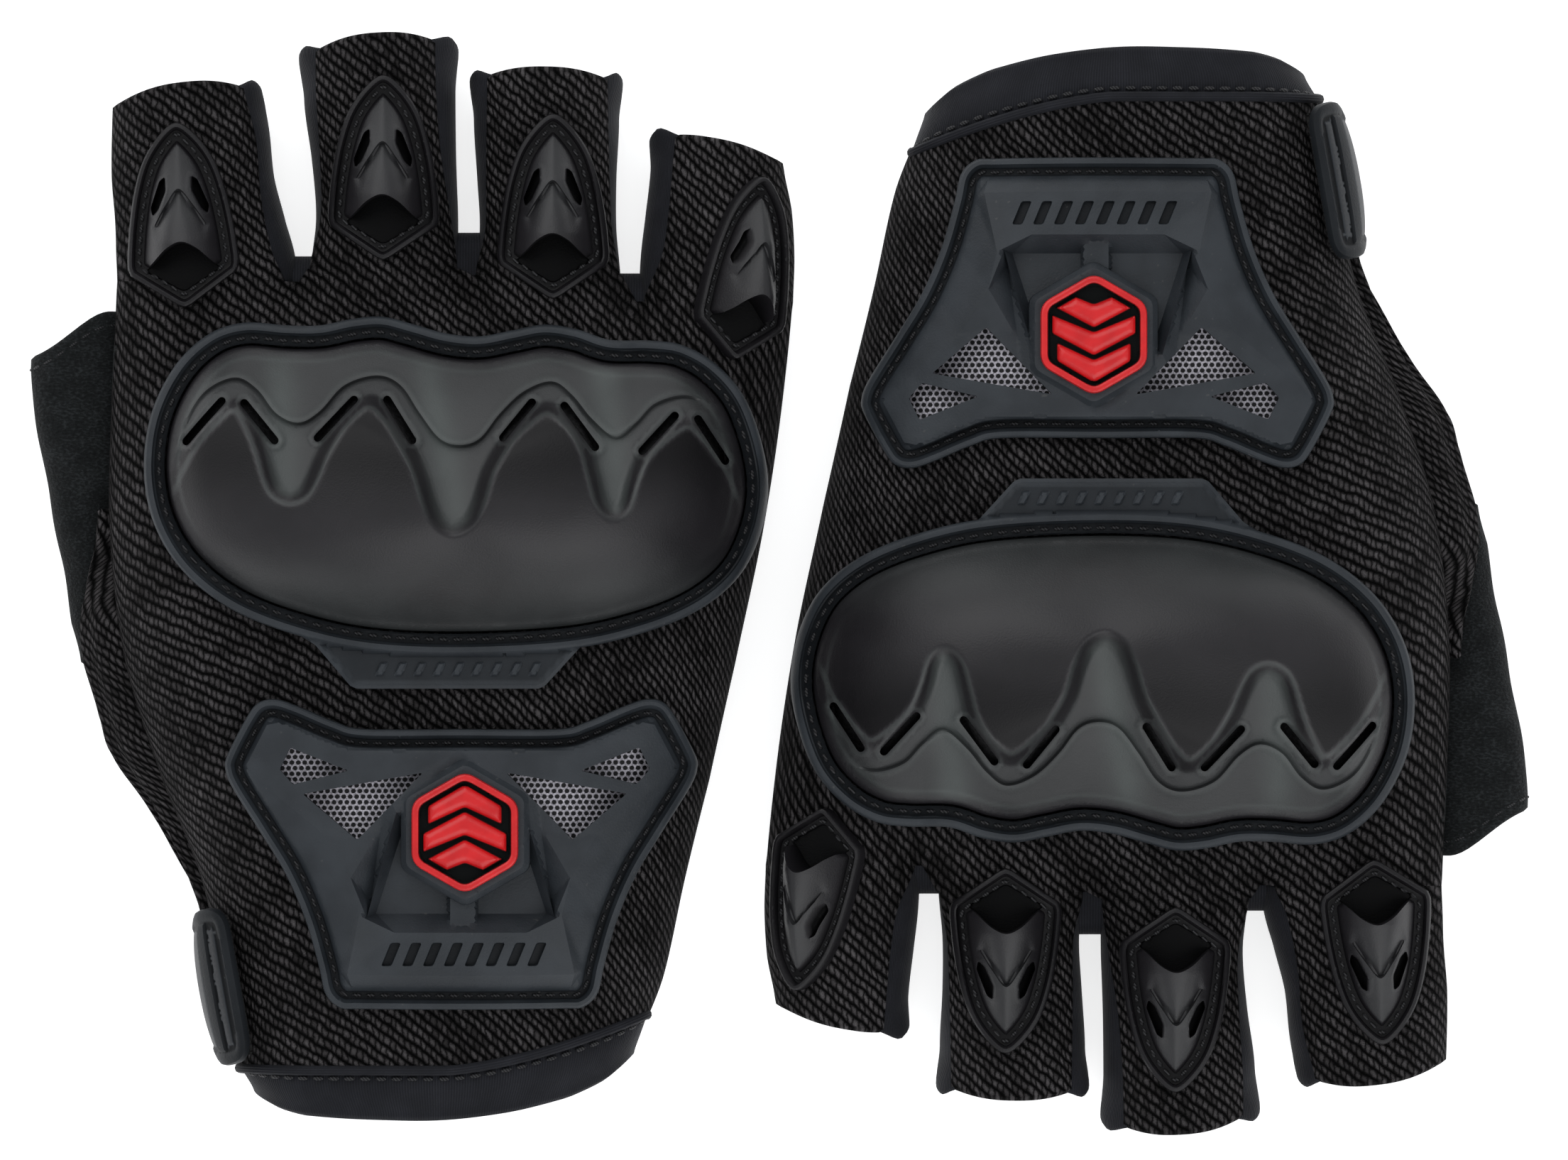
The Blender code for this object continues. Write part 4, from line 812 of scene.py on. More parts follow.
def knit_material():
    """Coarse knit: slanting ropes of separate loops, with painted shade in the holes between them and painted
    highlights on their tops.
    """
    finish = Finish("knit", 0.88, Specular_IOR_Level=0.07)
    across = (finish.u * math.sin(KNIT_TURN) + finish.v * math.cos(KNIT_TURN)) / KNIT_RIB
    run = (finish.u * math.cos(KNIT_TURN) - finish.v * math.sin(KNIT_TURN)) / KNIT_LOOP
    across = across + (finish.noise(2.8, 3.0) - 0.5) * 0.8
    row = across.math("FLOOR")
    offset = across - row - 0.5
    shifted = run + row * 0.37 + offset * KNIT_LEAN + (finish.noise(1.5, 2.0) - 0.5) * 0.9
    column = shifted.math("FLOOR")
    beside = shifted - column - 0.5
    rope = (offset * 2.0).math("ABSOLUTE").math("POWER", 2.2) * -1.0 + 1.0
    loop = (beside * 2.0).math("ABSOLUTE").math("POWER", 2.6) * -1.0 + 1.0
    thread = finish.noise(0.24, 2.0)
    height = rope.math("MULTIPLY", loop * 0.55 + 0.45) * 0.8 + thread * 0.42 - 0.1
    uneven = finish.scatter(row, column)
    patches = finish.noise(14.0, 3.0).smooth(0.35, 0.65)
    dark = finish.ramp(height, KNIT_DARK)
    light = finish.ramp(height, KNIT_LIGHT)
    finish.set("Base Color", finish.mix((uneven * 0.55 + patches * 0.45).math("MINIMUM", 1.0), dark, light))
    finish.bump(height, 0.9)
    return finish.material


def suede_material():
    """Brushed suede: short directionless fibres with a faint green-grey cast."""
    finish = Finish("suede", 0.92, Specular_IOR_Level=0.1, Sheen_Weight=0.04, Sheen_Roughness=0.6)
    fibres = finish.noise(0.55, 3.0, stretch=(1.0, 1.6, 1.0))
    nap = finish.noise(3.5, 3.0)
    height = fibres * 0.75 + nap * 0.35
    finish.set("Base Color", finish.ramp(height, [
        (0.28, (0.0022, 0.0026, 0.0028)), (0.55, (0.0085, 0.0098, 0.0102)), (0.8, (0.030, 0.034, 0.036)),
    ]))
    finish.bump(fibres, 0.34)
    finish.bump(nap, 0.5)
    return finish.material


def lycra_material():
    """Smooth stretch cloth: fine ribs along its length."""
    finish = Finish("lycra", 0.7, Specular_IOR_Level=0.16, Sheen_Weight=0.04, Sheen_Roughness=0.4)
    ribs = (finish.u * (2 * math.pi / 0.42)).math("SINE") * 0.5 + 0.5
    cloud = finish.noise(6.0, 3.0)
    fluff = finish.noise(0.3, 2.0)
    height = ribs * 0.5 + fluff * 0.4
    finish.set("Base Color", finish.ramp(cloud * 0.6 + height * 0.5, [
        (0.25, (0.0062, 0.0066, 0.0086)), (0.6, (0.0130, 0.0138, 0.0178)), (0.9, (0.027, 0.028, 0.035)),
    ]))
    finish.bump(height, 0.12)
    return finish.material


def shell_material():
    """Satin plastic: near-black, with a painted green-grey sheen and painted highlights where tinted, and
    painted shade in dull black where tinted below 0.
    """
    finish = Finish("hard_shell", 0.36, Specular_IOR_Level=0.5)
    tint = finish.tint()
    # Painted shade: how far the tint lies below 0, turning the plastic dull black.
    dull_painted_shade = (tint * -1.0).math("MAXIMUM", 0.0)
    smears = finish.noise(9.0, 4.0, on_cloth=False)
    grain = finish.noise(0.28, 1.0, on_cloth=False)
    dark = finish.mix(smears.smooth(0.3, 0.7), (0.0078, 0.0068, 0.0086), (0.0118, 0.0105, 0.0128))
    # The pale green-grey is painted sheen and highlights; the smears only vary its tone.
    pale = finish.mix(smears.smooth(0.3, 0.7), (0.082, 0.096, 0.092), (0.106, 0.124, 0.118))
    colour = finish.mix(tint.math("MAXIMUM", 0.0), dark, pale)
    finish.set("Base Color", finish.mix(dull_painted_shade, colour, (0.0022, 0.0022, 0.0024)))
    finish.set("Specular IOR Level", dull_painted_shade * -0.42 + 0.5)
    finish.set("Roughness", smears * 0.14 + grain * 0.05 + 0.36)
    finish.bump(grain, 0.035)
    return finish.material


def rubber_material():
    """Dusty rubber: slate grey, black where tinted, brown-grey where tinted below 0."""
    finish = Finish("soft_rubber", 0.56, Specular_IOR_Level=0.42)
    tint = finish.tint()
    smears = finish.noise(7.0, 4.0, on_cloth=False)
    grain = finish.noise(0.35, 2.0, on_cloth=False)
    dust = finish.noise(0.9, 1.0, on_cloth=False).smooth(0.74, 0.8)
    slate = finish.mix(smears.smooth(0.3, 0.72), (0.0190, 0.0232, 0.0282), (0.0300, 0.0358, 0.0425))
    slate = finish.mix(tint.math("MAXIMUM", 0.0), slate, (0.0022, 0.0023, 0.0026))
    slate = finish.mix((tint * -1.0).math("MAXIMUM", 0.0), slate, (0.034, 0.031, 0.029))
    finish.set("Base Color", finish.mix(dust * 0.35, slate, (0.085, 0.085, 0.082)))
    finish.set("Specular IOR Level", tint.math("MAXIMUM", 0.0) * -0.3 + 0.36)
    finish.set("Roughness", smears * 0.18 + grain * 0.08 + 0.42)
    finish.bump(grain, 0.05)
    return finish.material


def badge_material():
    """Glossy red relief with black gaps."""
    finish = Finish("red_badge", 0.32, Specular_IOR_Level=0.5)
    smears = finish.noise(3.0, 3.0, on_cloth=False)
    red = finish.mix(smears.smooth(0.3, 0.7), (0.60, 0.008, 0.011), (0.72, 0.013, 0.016))
    finish.set("Base Color", finish.mix(finish.tint(), red, (0.006, 0.007, 0.007)))
    finish.set("Roughness", finish.tint() * 0.5 + 0.32)
    finish.set("Specular IOR Level", finish.tint() * -0.45 + 0.5)
    finish.bump(finish.noise(0.4, 2.0, on_cloth=False), 0.03)
    return finish.material


NET_ROW, NET_COLUMN = 0.86, 0.98


def net_material():
    """Grey woven net: pale threads round small dark holes, laid like bricks."""
    finish = Finish("grey_net", 0.7, Specular_IOR_Level=0.4)
    row = (finish.v / NET_ROW).math("FLOOR")
    v = finish.v / NET_ROW - row - 0.5
    shifted = finish.u / NET_COLUMN + row * 0.5
    u = shifted - shifted.math("FLOOR") - 0.5
    hole = (u * 2.7).math("POWER", 2.0) + (v * 2.5).math("POWER", 2.0)
    solid = hole.smooth(0.55, 1.25)
    thread = finish.noise(0.3, 2.0)
    pale = finish.ramp(thread, [(0.25, (0.16, 0.155, 0.18)), (0.75, (0.80, 0.77, 0.84))])
    finish.set("Base Color", finish.mix(solid, (0.004, 0.004, 0.005), pale))
    finish.bump(solid * 0.8 + thread * 0.3, 0.3)
    return finish.material


def foam_material():
    """Open-cell foam."""
    finish = Finish("foam", 0.95, Specular_IOR_Level=0.15)
    cells = finish.noise(0.7, 3.0, on_cloth=False)
    finish.set("Base Color", finish.ramp(cells, [(0.3, (0.002, 0.002, 0.002)), (0.8, (0.014, 0.014, 0.015))]))
    finish.bump(cells, 0.5)
    return finish.material


HERRINGBONE = 2.4  # the width of one row of its zigzag


def webbing_material():
    """Woven strap webbing: a herringbone of flat yarns."""
    finish = Finish("webbing", 0.75, Specular_IOR_Level=0.3, Sheen_Weight=0.15)
    bands = (finish.u / HERRINGBONE - (finish.u / HERRINGBONE).math("FLOOR") - 0.5).math("ABSOLUTE")
    yarn = ((finish.v + bands * HERRINGBONE) * (2 * math.pi / 0.9)).math("SINE") * 0.5 + 0.5
    finish.set("Base Color", finish.ramp(yarn, [(0.1, (0.004, 0.004, 0.005)), (0.9, (0.022, 0.022, 0.025))]))
    finish.bump(yarn, 0.3)
    return finish.material


def hook_material():
    """Hook-and-loop tape: rows of small dark hooks."""
    finish = Finish("hook_and_loop", 0.9, Specular_IOR_Level=0.2)
    dots = (finish.u * (2 * math.pi / 0.7)).math("SINE") * (finish.v * (2 * math.pi / 0.8)).math("SINE")
    fuzz = finish.noise(0.35, 2.0)
    hooks = finish.ramp(dots * 0.3 + fuzz, [(0.2, (0.003, 0.003, 0.003)), (0.9, (0.03, 0.03, 0.03))])
    finish.set("Base Color", hooks)
    finish.bump(dots * 0.4 + fuzz, 0.4)
    return finish.material


def thread_material():
    """Twisted black sewing thread."""
    finish = Finish("thread", 0.6, Specular_IOR_Level=0.3)
    twist = ((finish.u + finish.v) * (2 * math.pi / 0.5)).math("SINE") * 0.5 + 0.5
    black = finish.ramp(twist, [(0.0, (0.006, 0.006, 0.0065)), (1.0, (0.045, 0.045, 0.048))])
    finish.set("Base Color", black)
    finish.bump(twist, 0.1)
    return finish.material


FINISHES = {
    "knit": knit_material(), "suede": suede_material(), "lycra": lycra_material(),
    "hard_shell": shell_material(), "soft_rubber": rubber_material(), "red_badge": badge_material(),
    "grey_net": net_material(), "foam": foam_material(), "webbing": webbing_material(),
    "hook_and_loop": hook_material(), "thread": thread_material(),
}

# ---------------------------------------------------------------- putting pieces in both gloves


def publish(name, shape, finish, body, replaces=(), bend=None, sharp=40.0):
    """Makes the piece in both gloves.

    Without bend it rides on body. With bend, a pair of places in the glove, its placement is baked
    into its mesh and it is not put on body; the pair goes no further. sharp is the angle in degrees from
    which its edges look sharp."""
    for glove, (offset, turn) in GLOVES.items():
        placed = shape.points * (turn * MM, turn * MM, MM) + (offset * MM, 0.0, 0.0)
        mesh = bpy.data.meshes.new(f"{glove}_{name}")
        mesh.from_pydata(placed.tolist(), [], shape.faces)
        mesh.update()
        corners = np.zeros(len(mesh.loops), np.int32)
        mesh.loops.foreach_get("vertex_index", corners)
        cloth = mesh.uv_layers.new(name="cloth")
        cloth.data.foreach_set("uv", shape.cloth[corners].astype(np.float32).ravel())
        tint = mesh.attributes.new("tint", "FLOAT", "POINT")
        tint.data.foreach_set("value", shape.tint.astype(np.float32))
        mesh.shade_smooth()
        mesh.set_sharp_from_angle(angle=math.radians(sharp))
        mesh.materials.append(FINISHES[finish])
        piece = bpy.data.objects.new(f"{glove}_{name}", mesh)
        bpy.context.scene.collection.objects.link(piece)
        if replaces:
            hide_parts(*[f"{glove}_{node}" for node in replaces])
        if bend:
            start, end = [(p[0] * turn * MM + offset * MM, p[1] * turn * MM, p[2] * MM) for p in bend]
            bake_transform(piece)
            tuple(start)
            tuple(end)
        else:
            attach(piece, f"{glove}_{body}")


BEND_LENGTH, BEND_Z, FABRIC_SHARP = 10.0, 10.0, 70.0


def finger_bend(which):
    """Two places over a finger's root, handed to publish() as its pieces' bend."""
    root = FINGERS[which]["root"]
    centre = finger_parts(which, root)[0]
    return (centre, root, BEND_Z), (centre, root + BEND_LENGTH, BEND_Z)


# ---------------------------------------------------------------- the fabric hand

# Thickness of the hand's, fingers', side strips', webs', cuff's, gusset's and strap's cloth, and
# the spacing of the coarser stitches with their length.
WALL, FINGER_WALL, STRIP_WALL, WEB_WALL = 1.3, 1.2, 0.8, 0.9
CUFF_WALL, GUSSET_WALL, STRAP_WALL = 1.4, 1.0, 1.4
WIDE_PITCH, WIDE_STITCH = 2.4, 1.7
PALM_HEM_RISE = 3.5  # the palm's hem lies this much further forward than the back's


def stretch_along(grid, anchor):
    """How much longer each row is than its plain x distance, from its anchor column."""
    step = np.linalg.norm(np.diff(grid, axis=1), axis=2) - np.abs(np.diff(grid[..., 0], axis=1))
    total = np.concatenate([np.zeros((len(grid), 1)), np.cumsum(step, axis=1)], axis=1)
    return total - total[:, anchor : anchor + 1]


def front_columns(lower):
    """x of the hand's front edge at each column, close together where the fingers curve."""
    xs = []
    names = list(FINGERS)
    for which in names:
        y = FINGERS[which]["root"]
        angles = np.linspace(math.pi, 0, 25 if not lower else 15)
        reach = finger_point(which, angles, y)[:, 0]
        xs += list(reach)
        if which != names[-1]:
            edge = finger_point(names[names.index(which) + 1], np.array([math.pi]), y)[0, 0]
            xs += list(np.linspace(reach[-1], edge, 4)[1:-1])
    return np.array(xs)


PALM_INSET, PALM_INSET_FROM, PALM_INSET_LENGTH = 9.5, -46.0, 54.0


def hand_grid(lower, rows, hem_rise=0.0):
    """Rows of points from the finger roots to the hem, over the back or under the palm.

    Beside the thumb the palm starts PALM_INSET in from the hand's edge."""
    xs = front_columns(lower)
    count = len(xs)
    even = (1 - np.cos(math.pi * np.linspace(0, 1, count))) / 2
    even = even * 0.75 + np.linspace(0, 1, count) * 0.25
    front = (xs - xs[0]) / (xs[-1] - xs[0])
    grid = []
    for r in range(rows + 1):
        share = r / rows
        column = front + (even - front) * smooth(0, 0.22, share)
        x = xs.copy()
        # x and y depend on each other, so both are found in a few rounds.
        for _ in range(8):
            hem = hem_y(x) + hem_rise * rounded(np.minimum(x + 27, 37 - x) / 20)
            y = front_y(x) + (hem - front_y(x)) * share
            left, right = along(HAND, y)[:2]
            start = left
            if lower:
                beside = np.clip((y - PALM_INSET_FROM) / PALM_INSET_LENGTH, 0, 1)
                start = left + PALM_INSET * np.clip(np.sin(math.pi * beside), 0, 1) ** 0.6
            x = start + (right - start) * column
            if r == 0:
                x = xs
        z = palm_z(x, y) if lower else hand_z(x, y)
        grid.append(np.stack([x, y, z], axis=-1))
    return np.array(grid)


# The knit's ribs turn steeper towards the little finger, more so at the wrist than at the fingers.
WRIST_CURVE, FINGER_CURVE = 0.0115, 0.0015


def knit_map(x, y, stretch):
    """Place on the knit: straight ribs bend with the hand."""
    curve = WRIST_CURVE + (FINGER_CURVE - WRIST_CURVE) * smooth(-10.0, 60.0, y)
    return np.stack([x + stretch, y + curve * x * x / 2], axis=-1)


def back_of_hand():
    """The knitted back as a shape, and the grid of its outer face."""
    grid = hand_grid(False, 96)
    x, y = grid[..., 0], grid[..., 1]
    left, right = along(HAND, y)[:2]
    middle = grid.shape[1] // 2
    total = stretch_along(grid, middle)
    sides = smooth(left + LEFT_ROUND + 2, left + LEFT_ROUND - 2, x) + smooth(right - 16, right - 8, x)
    step = np.diff(total, axis=1, prepend=0)
    leftward = -np.cumsum((step * (x < 0) * sides)[:, ::-1], axis=1)[:, ::-1]
    rightward = np.cumsum(step * (x > 0) * sides, axis=1)
    beyond = np.where(x < 0, leftward, rightward)
    wave = 0.22 * np.sin(x * 0.31 + y * 0.11) * np.sin(y * 0.19 - x * 0.05)
    fade = smooth(front_y(x) - 1, front_y(x) - 14, y)
    grid[..., 2] += wave * fade * smooth(left, left + 8, x) * smooth(right, right - 8, x)
    return slab(grid, WALL, side=-1.0, bulge=0.12, cloth=knit_map(x, y, beyond)), grid


def palm_of_hand():
    """The suede palm."""
    grid = hand_grid(True, 60, hem_rise=PALM_HEM_RISE)
    return slab(grid, WALL, side=1.0, bulge=0.12)


def finger_grid(which, first, last, columns, rows, shrink=0.0, start=0.0, extra=None):
    """Rows of points round a sleeve from first to last, angles as functions of y."""
    finger = FINGERS[which]
    t = np.linspace(0, 1, rows + 1)[:, None]
    s = np.linspace(0, 1, columns + 1)[None, :]
    y = finger["root"] + start + (np.mean(finger["tip"]) - finger["root"]) * t + 0 * s
    # The angles depend on y, and the sleeve's end on the angles.
    for _ in range(4):
        angle = first(y) + (last(y) - first(y)) * s
        end = finger_end(which, angle) + (extra(s) if extra else 0.0)
        y = finger["root"] + start + (end - finger["root"] - start) * t
    return finger_point(which, angle, y, shrink), angle, y


def knit_angles(which):
    """The angles of the knit's two edges, as functions of y."""
    finger = FINGERS[which]

    def left(y):
        """The left edge, which is the side seam on the index finger."""
        if which == "index":
            return np.full_like(y, math.pi)
        return angle_at(which, along(finger["knit"], y)[0], y)

    def right(y):
        """The right edge, which is the side seam on the little finger."""
        if which == "little":
            return np.zeros_like(y)
        return angle_at(which, along(finger["knit"], y)[1], y)

    return left, right


# The strips reach this far under the finger's sides, and their ends this far past its end.
STRIP_UNDER, EAR = math.radians(34), 1.7
OVERLAP = math.radians(5)
SLEEVE_RADIUS = 12.0  # turns a sleeve's angle into a length on its cloth


def fixed(angle):
    """A panel edge at the same angle all along the finger."""
    return lambda y: np.full_like(y, angle)


def ear(share):
    """How far a strip's end lies beyond the sleeve's, across the strip."""
    return EAR * bell(share - 0.24, 0.2) - 0.4


def side_strips(which, left, right, bend):
    """The smooth strips along a finger's sides, from its knit's edges down to its front."""
    for side in ("left", "right"):
        if (which, side) in (("index", "left"), ("little", "right")):
            continue
        if side == "left":
            sign, top, low = -1.0, (lambda y: left(y) - OVERLAP), fixed(math.pi + STRIP_UNDER + OVERLAP)
        else:
            sign, top, low = 1.0, (lambda y: right(y) + OVERLAP), fixed(-STRIP_UNDER - OVERLAP)
        grid, angle, y = finger_grid(which, top, low, 14, 34, shrink=0.3, extra=ear)
        flare = smooth(0.82, 1.0, np.linspace(0, 1, len(grid)))[:, None] * 0.9
        grid[..., 0] += sign * flare * bell(np.linspace(0, 1, 15) - 0.3, 0.3)
        cloth = np.stack([angle * SLEEVE_RADIUS, y], axis=-1)
        strip = slab(grid, STRIP_WALL, side=sign, bulge=0.5, cloth=cloth)
        publish(f"{which}_{side}_strip", strip, "lycra", which, bend=bend, sharp=FABRIC_SHARP)


def fingers():
    """The four finger sleeves: knitted backs, suede fronts and smooth side strips."""
    for which in FINGERS:
        bend = finger_bend(which)
        left, right = knit_angles(which)
        grid, angle, y = finger_grid(which, left, right, 34, 30)
        anchor = int(np.argmin(np.abs(angle[15] - math.pi / 2)))
        stretch = stretch_along(grid, anchor) * smooth(0, 8, y - FINGERS[which]["root"])
        cloth = knit_map(grid[..., 0], y, stretch)
        back = slab(grid, FINGER_WALL, side=1.0, bulge=0.45, cloth=cloth)
        publish(f"{which}_back", back, "knit", which, [f"{which}_back"], bend, sharp=FABRIC_SHARP)
        first = fixed(math.pi if which == "index" else math.pi + STRIP_UNDER)
        last = fixed(2 * math.pi if which == "little" else 2 * math.pi - STRIP_UNDER)
        grid, angle, y = finger_grid(which, first, last, 30, 26, shrink=0.1)
        cloth = np.stack([angle * SLEEVE_RADIUS, y], axis=-1)
        front = slab(grid, FINGER_WALL, side=-1.0, bulge=0.4, cloth=cloth)
        publish(f"{which}_front", front, "suede", which, [f"{which}_front"], bend, sharp=FABRIC_SHARP)
        side_strips(which, left, right, bend)


def webs():
    """The crotches between the fingers: a strip folded over from the back to the palm."""
    made = None
    for (one, other), reach in CROTCH_Y.items():
        y0 = min(FINGERS[one]["root"], FINGERS[other]["root"])
        first = along(FINGERS[one]["edges"], FINGERS[one]["root"])[1] - 2.2
        last = along(FINGERS[other]["edges"], FINGERS[other]["root"])[0] + 2.2
        profile = smooth_line([
            (y0 - 3.0, WEB_Z - 0.5), (y0 + 0.5, WEB_Z - 0.3), (reach - 1.6, WEB_Z - 1.4), (reach, 8.4),
            (reach - 1.4, 5.0), (y0 - 0.5, PALM_WEB_Z + 0.4), (y0 - 3.0, PALM_WEB_Z + 0.6),
        ], 0.6)
        across = np.linspace(-1, 1, 13)
        grid = np.zeros((len(profile), 13, 3))
        lift = 1.8 * across**2
        grid[..., 0] = (first + last) / 2 + across * (last - first) / 2
        grid[..., 1] = profile[:, :1]
        grid[..., 2] = profile[:, 1:] + np.where(profile[:, 1:] > 8, lift, -lift) * 0.35
        strip = slab(grid, WEB_WALL, side=1.0, bulge=0.3)
        made = strip if made is None else made + strip
    publish("finger_webs", made, "lycra", "hand", sharp=FABRIC_SHARP)


CUFF_END = [
    (-27, -75.6), (-24, -77.9), (-21, -79.4), (-17, -80.3), (-5, -80.9), (5, -80.9),
    (15, -79.7), (24, -77.6), (30, -74.9), (34, -71.2), (37.5, -66.0),
]
CUFF_STEPS, CUFF_TUCK, SEAM_SHARE = 14, 1.6, 0.17


def cuff_end(x):
    """y of the cuff's far edge, as seen from above."""
    return along(CUFF_END, x)[0]


def cuff(back_grid):
    """The smooth band beyond the knit's hem, with the hem's rolled edge and stitches."""
    top = back_grid[-1].copy()
    top[:, 2] -= 0.5
    under = hand_grid(True, 4, hem_rise=PALM_HEM_RISE)[-1][::-1].copy()
    under = resample(under, 1.6)
    ring = np.vstack([top[::2], under[1:-1]])
    ring = resample(ring, 1.5, closed=True)
    centre = np.array([4.0, 12.0])
    rows = []
    for k in range(CUFF_STEPS + 1):
        t = k / CUFF_STEPS
        out = ring[:, [0, 2]] - centre
        shrink = 1 - 0.06 * t**1.6
        puff = 0.7 * math.sin(math.pi * min(t * 1.1, 1.0)) - 0.6
        moved = centre + out * shrink + unit(out) * puff
        y = ring[:, 1] + CUFF_TUCK + (cuff_end(moved[:, 0]) - ring[:, 1] - CUFF_TUCK) * t
        rows.append(np.column_stack([moved[:, 0], y, moved[:, 1]]))
    grid = np.array(rows)
    around = np.concatenate([[0], np.cumsum(np.linalg.norm(np.diff(ring, axis=0), axis=1))])
    cloth = np.stack([np.broadcast_to(around, grid.shape[:2]), grid[..., 1]], axis=-1)
    grid = grid[:, ::-1]
    band = slab(grid, CUFF_WALL, side=1.0, wrap=True, bulge=0.5, cloth=cloth[:, ::-1])
    publish("cuff_band", band, "lycra", "hand", ["cuff_band"], sharp=FABRIC_SHARP)
    # The hem: a rolled edge on the knit, and a row of stitches on the band below it.
    hem = back_grid[-1] + (0, 0.1, 0.15)
    publish("hem_piping", tube(resample(hem[1:-1], 0.8), 0.75, flat=0.8), "lycra", "hand")
    seam = []
    for x in np.arange(-24.5, 36.0, 0.7):
        y = hem_y(x)
        seam.append((x, y + (cuff_end(x) - y) * SEAM_SHARE, hand_z(x, y) - 0.15))
    sewn = stitches(np.array(seam), WIDE_PITCH, WIDE_STITCH, 0.32)
    publish("hem_stitches", sewn, "thread", "hand")


def thumb():
    """The thumb's suede sleeve and the stitches round its open end."""
    sides = 40
    angles = np.linspace(0, 2 * math.pi, sides, endpoint=False)
    across, up = superellipse(angles)
    rows = []
    for t in np.linspace(0, 1, 40):
        end = THUMB_TIP[0] + (THUMB_TIP[1] - THUMB_TIP[0]) * smooth(-1.2, 0.7, across)
        y = THUMB[0][0] + (end - THUMB[0][0]) * t
        left, right, under, top = along(THUMB, y)
        crease = 0.35 * np.sin(y * 0.42 + across * 2.0) * math.sin(math.pi * t)
        x = (left + right) / 2 + across * ((right - left) / 2 + crease * 0.5)
        z = (under + top) / 2 + up * ((top - under) / 2 + crease)
        rows.append(np.column_stack([x, y, z]))
    grid = np.array(rows)
    around = np.cumsum(np.linalg.norm(np.diff(grid[20], axis=0, prepend=grid[20][:1]), axis=1))
    cloth = np.stack([np.broadcast_to(around, grid.shape[:2]), grid[..., 1]], axis=-1)
    sleeve = slab(grid, FINGER_WALL, side=-1.0, wrap=True, bulge=0.5, cloth=cloth)
    bend = ((-51.6, -8.0, 6.0), (-51.6, 4.0, 6.0))
    publish("thumb_sleeve", sleeve, "suede", "thumb", ["thumb_sleeve"], bend, sharp=FABRIC_SHARP)
    sewn = stitches(grid[-1] - (0, 1.6, 0), WIDE_PITCH, WIDE_STITCH, 0.22, closed=True)
    publish("thumb_stitches", sewn, "thread", "thumb", bend=bend)


GUSSET_ROWS, GUSSET_COLUMNS = 60, 34


def gusset():
    """The knitted fold beside the hand below the thumb."""
    rows = []
    for y in np.linspace(GUSSET[0][0], GUSSET[-1][0], GUSSET_ROWS):
        outer = float(along(GUSSET, y)[0])
        left, _, _, seam, _, _ = along(HAND, y)
        profile = np.array([
            (left + 6.0, 0.8), (outer + 3.6, 1.0), (outer + 0.7, 3.0), (outer, 6.0),
            (outer + 0.9, seam - 3.4), (left - 1.4 + 0.35 * (outer - left), seam - 0.8),
            (left + 1.2, seam + 0.2), (left + 3.5, seam + 1.0),
        ])
        # Towards the thumb's root the lower half closes up against the hand's edge.
        closed = (left, seam) + np.array([(1.6, -6.0), (0.6, -4.6), (-0.2, -3.2), (-0.8, -2.2)])
        profile[:4] += (closed - profile[:4]) * smooth(-6.0, 10.0, y)
        profile = resample(smooth_line(profile, 0.4), 1.0)
        at = np.linspace(0, len(profile) - 1, GUSSET_COLUMNS)
        x, z = (np.interp(at, np.arange(len(profile)), column) for column in profile.T)
        share = np.linspace(0, 1, GUSSET_COLUMNS) - 0.003 * y
        fold = 0.55 * bell(share - 0.62, 0.05) - 0.5 * bell(share - 0.72, 0.045)
        rows.append(np.column_stack([x - fold * 0.6, np.full(GUSSET_COLUMNS, y), z + fold]))
    grid = np.array(rows)
    length = np.cumsum(np.linalg.norm(np.diff(grid, axis=1, prepend=grid[:, :1]), axis=2), axis=1)
    cloth = np.stack([length - 60, grid[..., 1]], axis=-1)
    panel = slab(grid, GUSSET_WALL, side=1.0, bulge=0.4, cloth=cloth)
    bend = ((-45.4, 0.0, 6.0), (-49.6, 0.0, 6.0))
    publish("thumb_gusset", panel, "knit", "thumb", ["thumb_gusset"], bend, sharp=FABRIC_SHARP)


# ---------------------------------------------------------------- moulded pieces

REST = 0.15  # gap between a moulding and the fabric


def on_hand(points, height):
    """2D points as places at this height over the back of the hand."""
    return np.column_stack([points, hand_z(points[:, 0], points[:, 1]) + REST + height])


def bead(depth, width, low, high):
    """A rounded bead along an edge: depth is the distance in from it."""
    t = np.clip(depth / width, 0, 1)
    return low + (high - low) * np.sqrt(np.clip(1 - (2 * t - 1) ** 4, 0, 1))


def slanted_bar(x, low, high, width, lean, radius, step):
    """A bar between two y, leaning to the right."""
    corners = [(x, low), (x + lean, high), (x + lean + width, high), (x + width, low)]
    return round_polygon(corners, radius, step)


# The frame's whole width, the bead along its outer edge and the groove behind that.
RIM_WIDTH, BEAD_WIDTH, GROOVE_END = 3.2, 1.45, 1.7
TAB_BARS, TAB_BARS_FROM, TAB_BARS_PITCH = 9, -5.6, 2.9


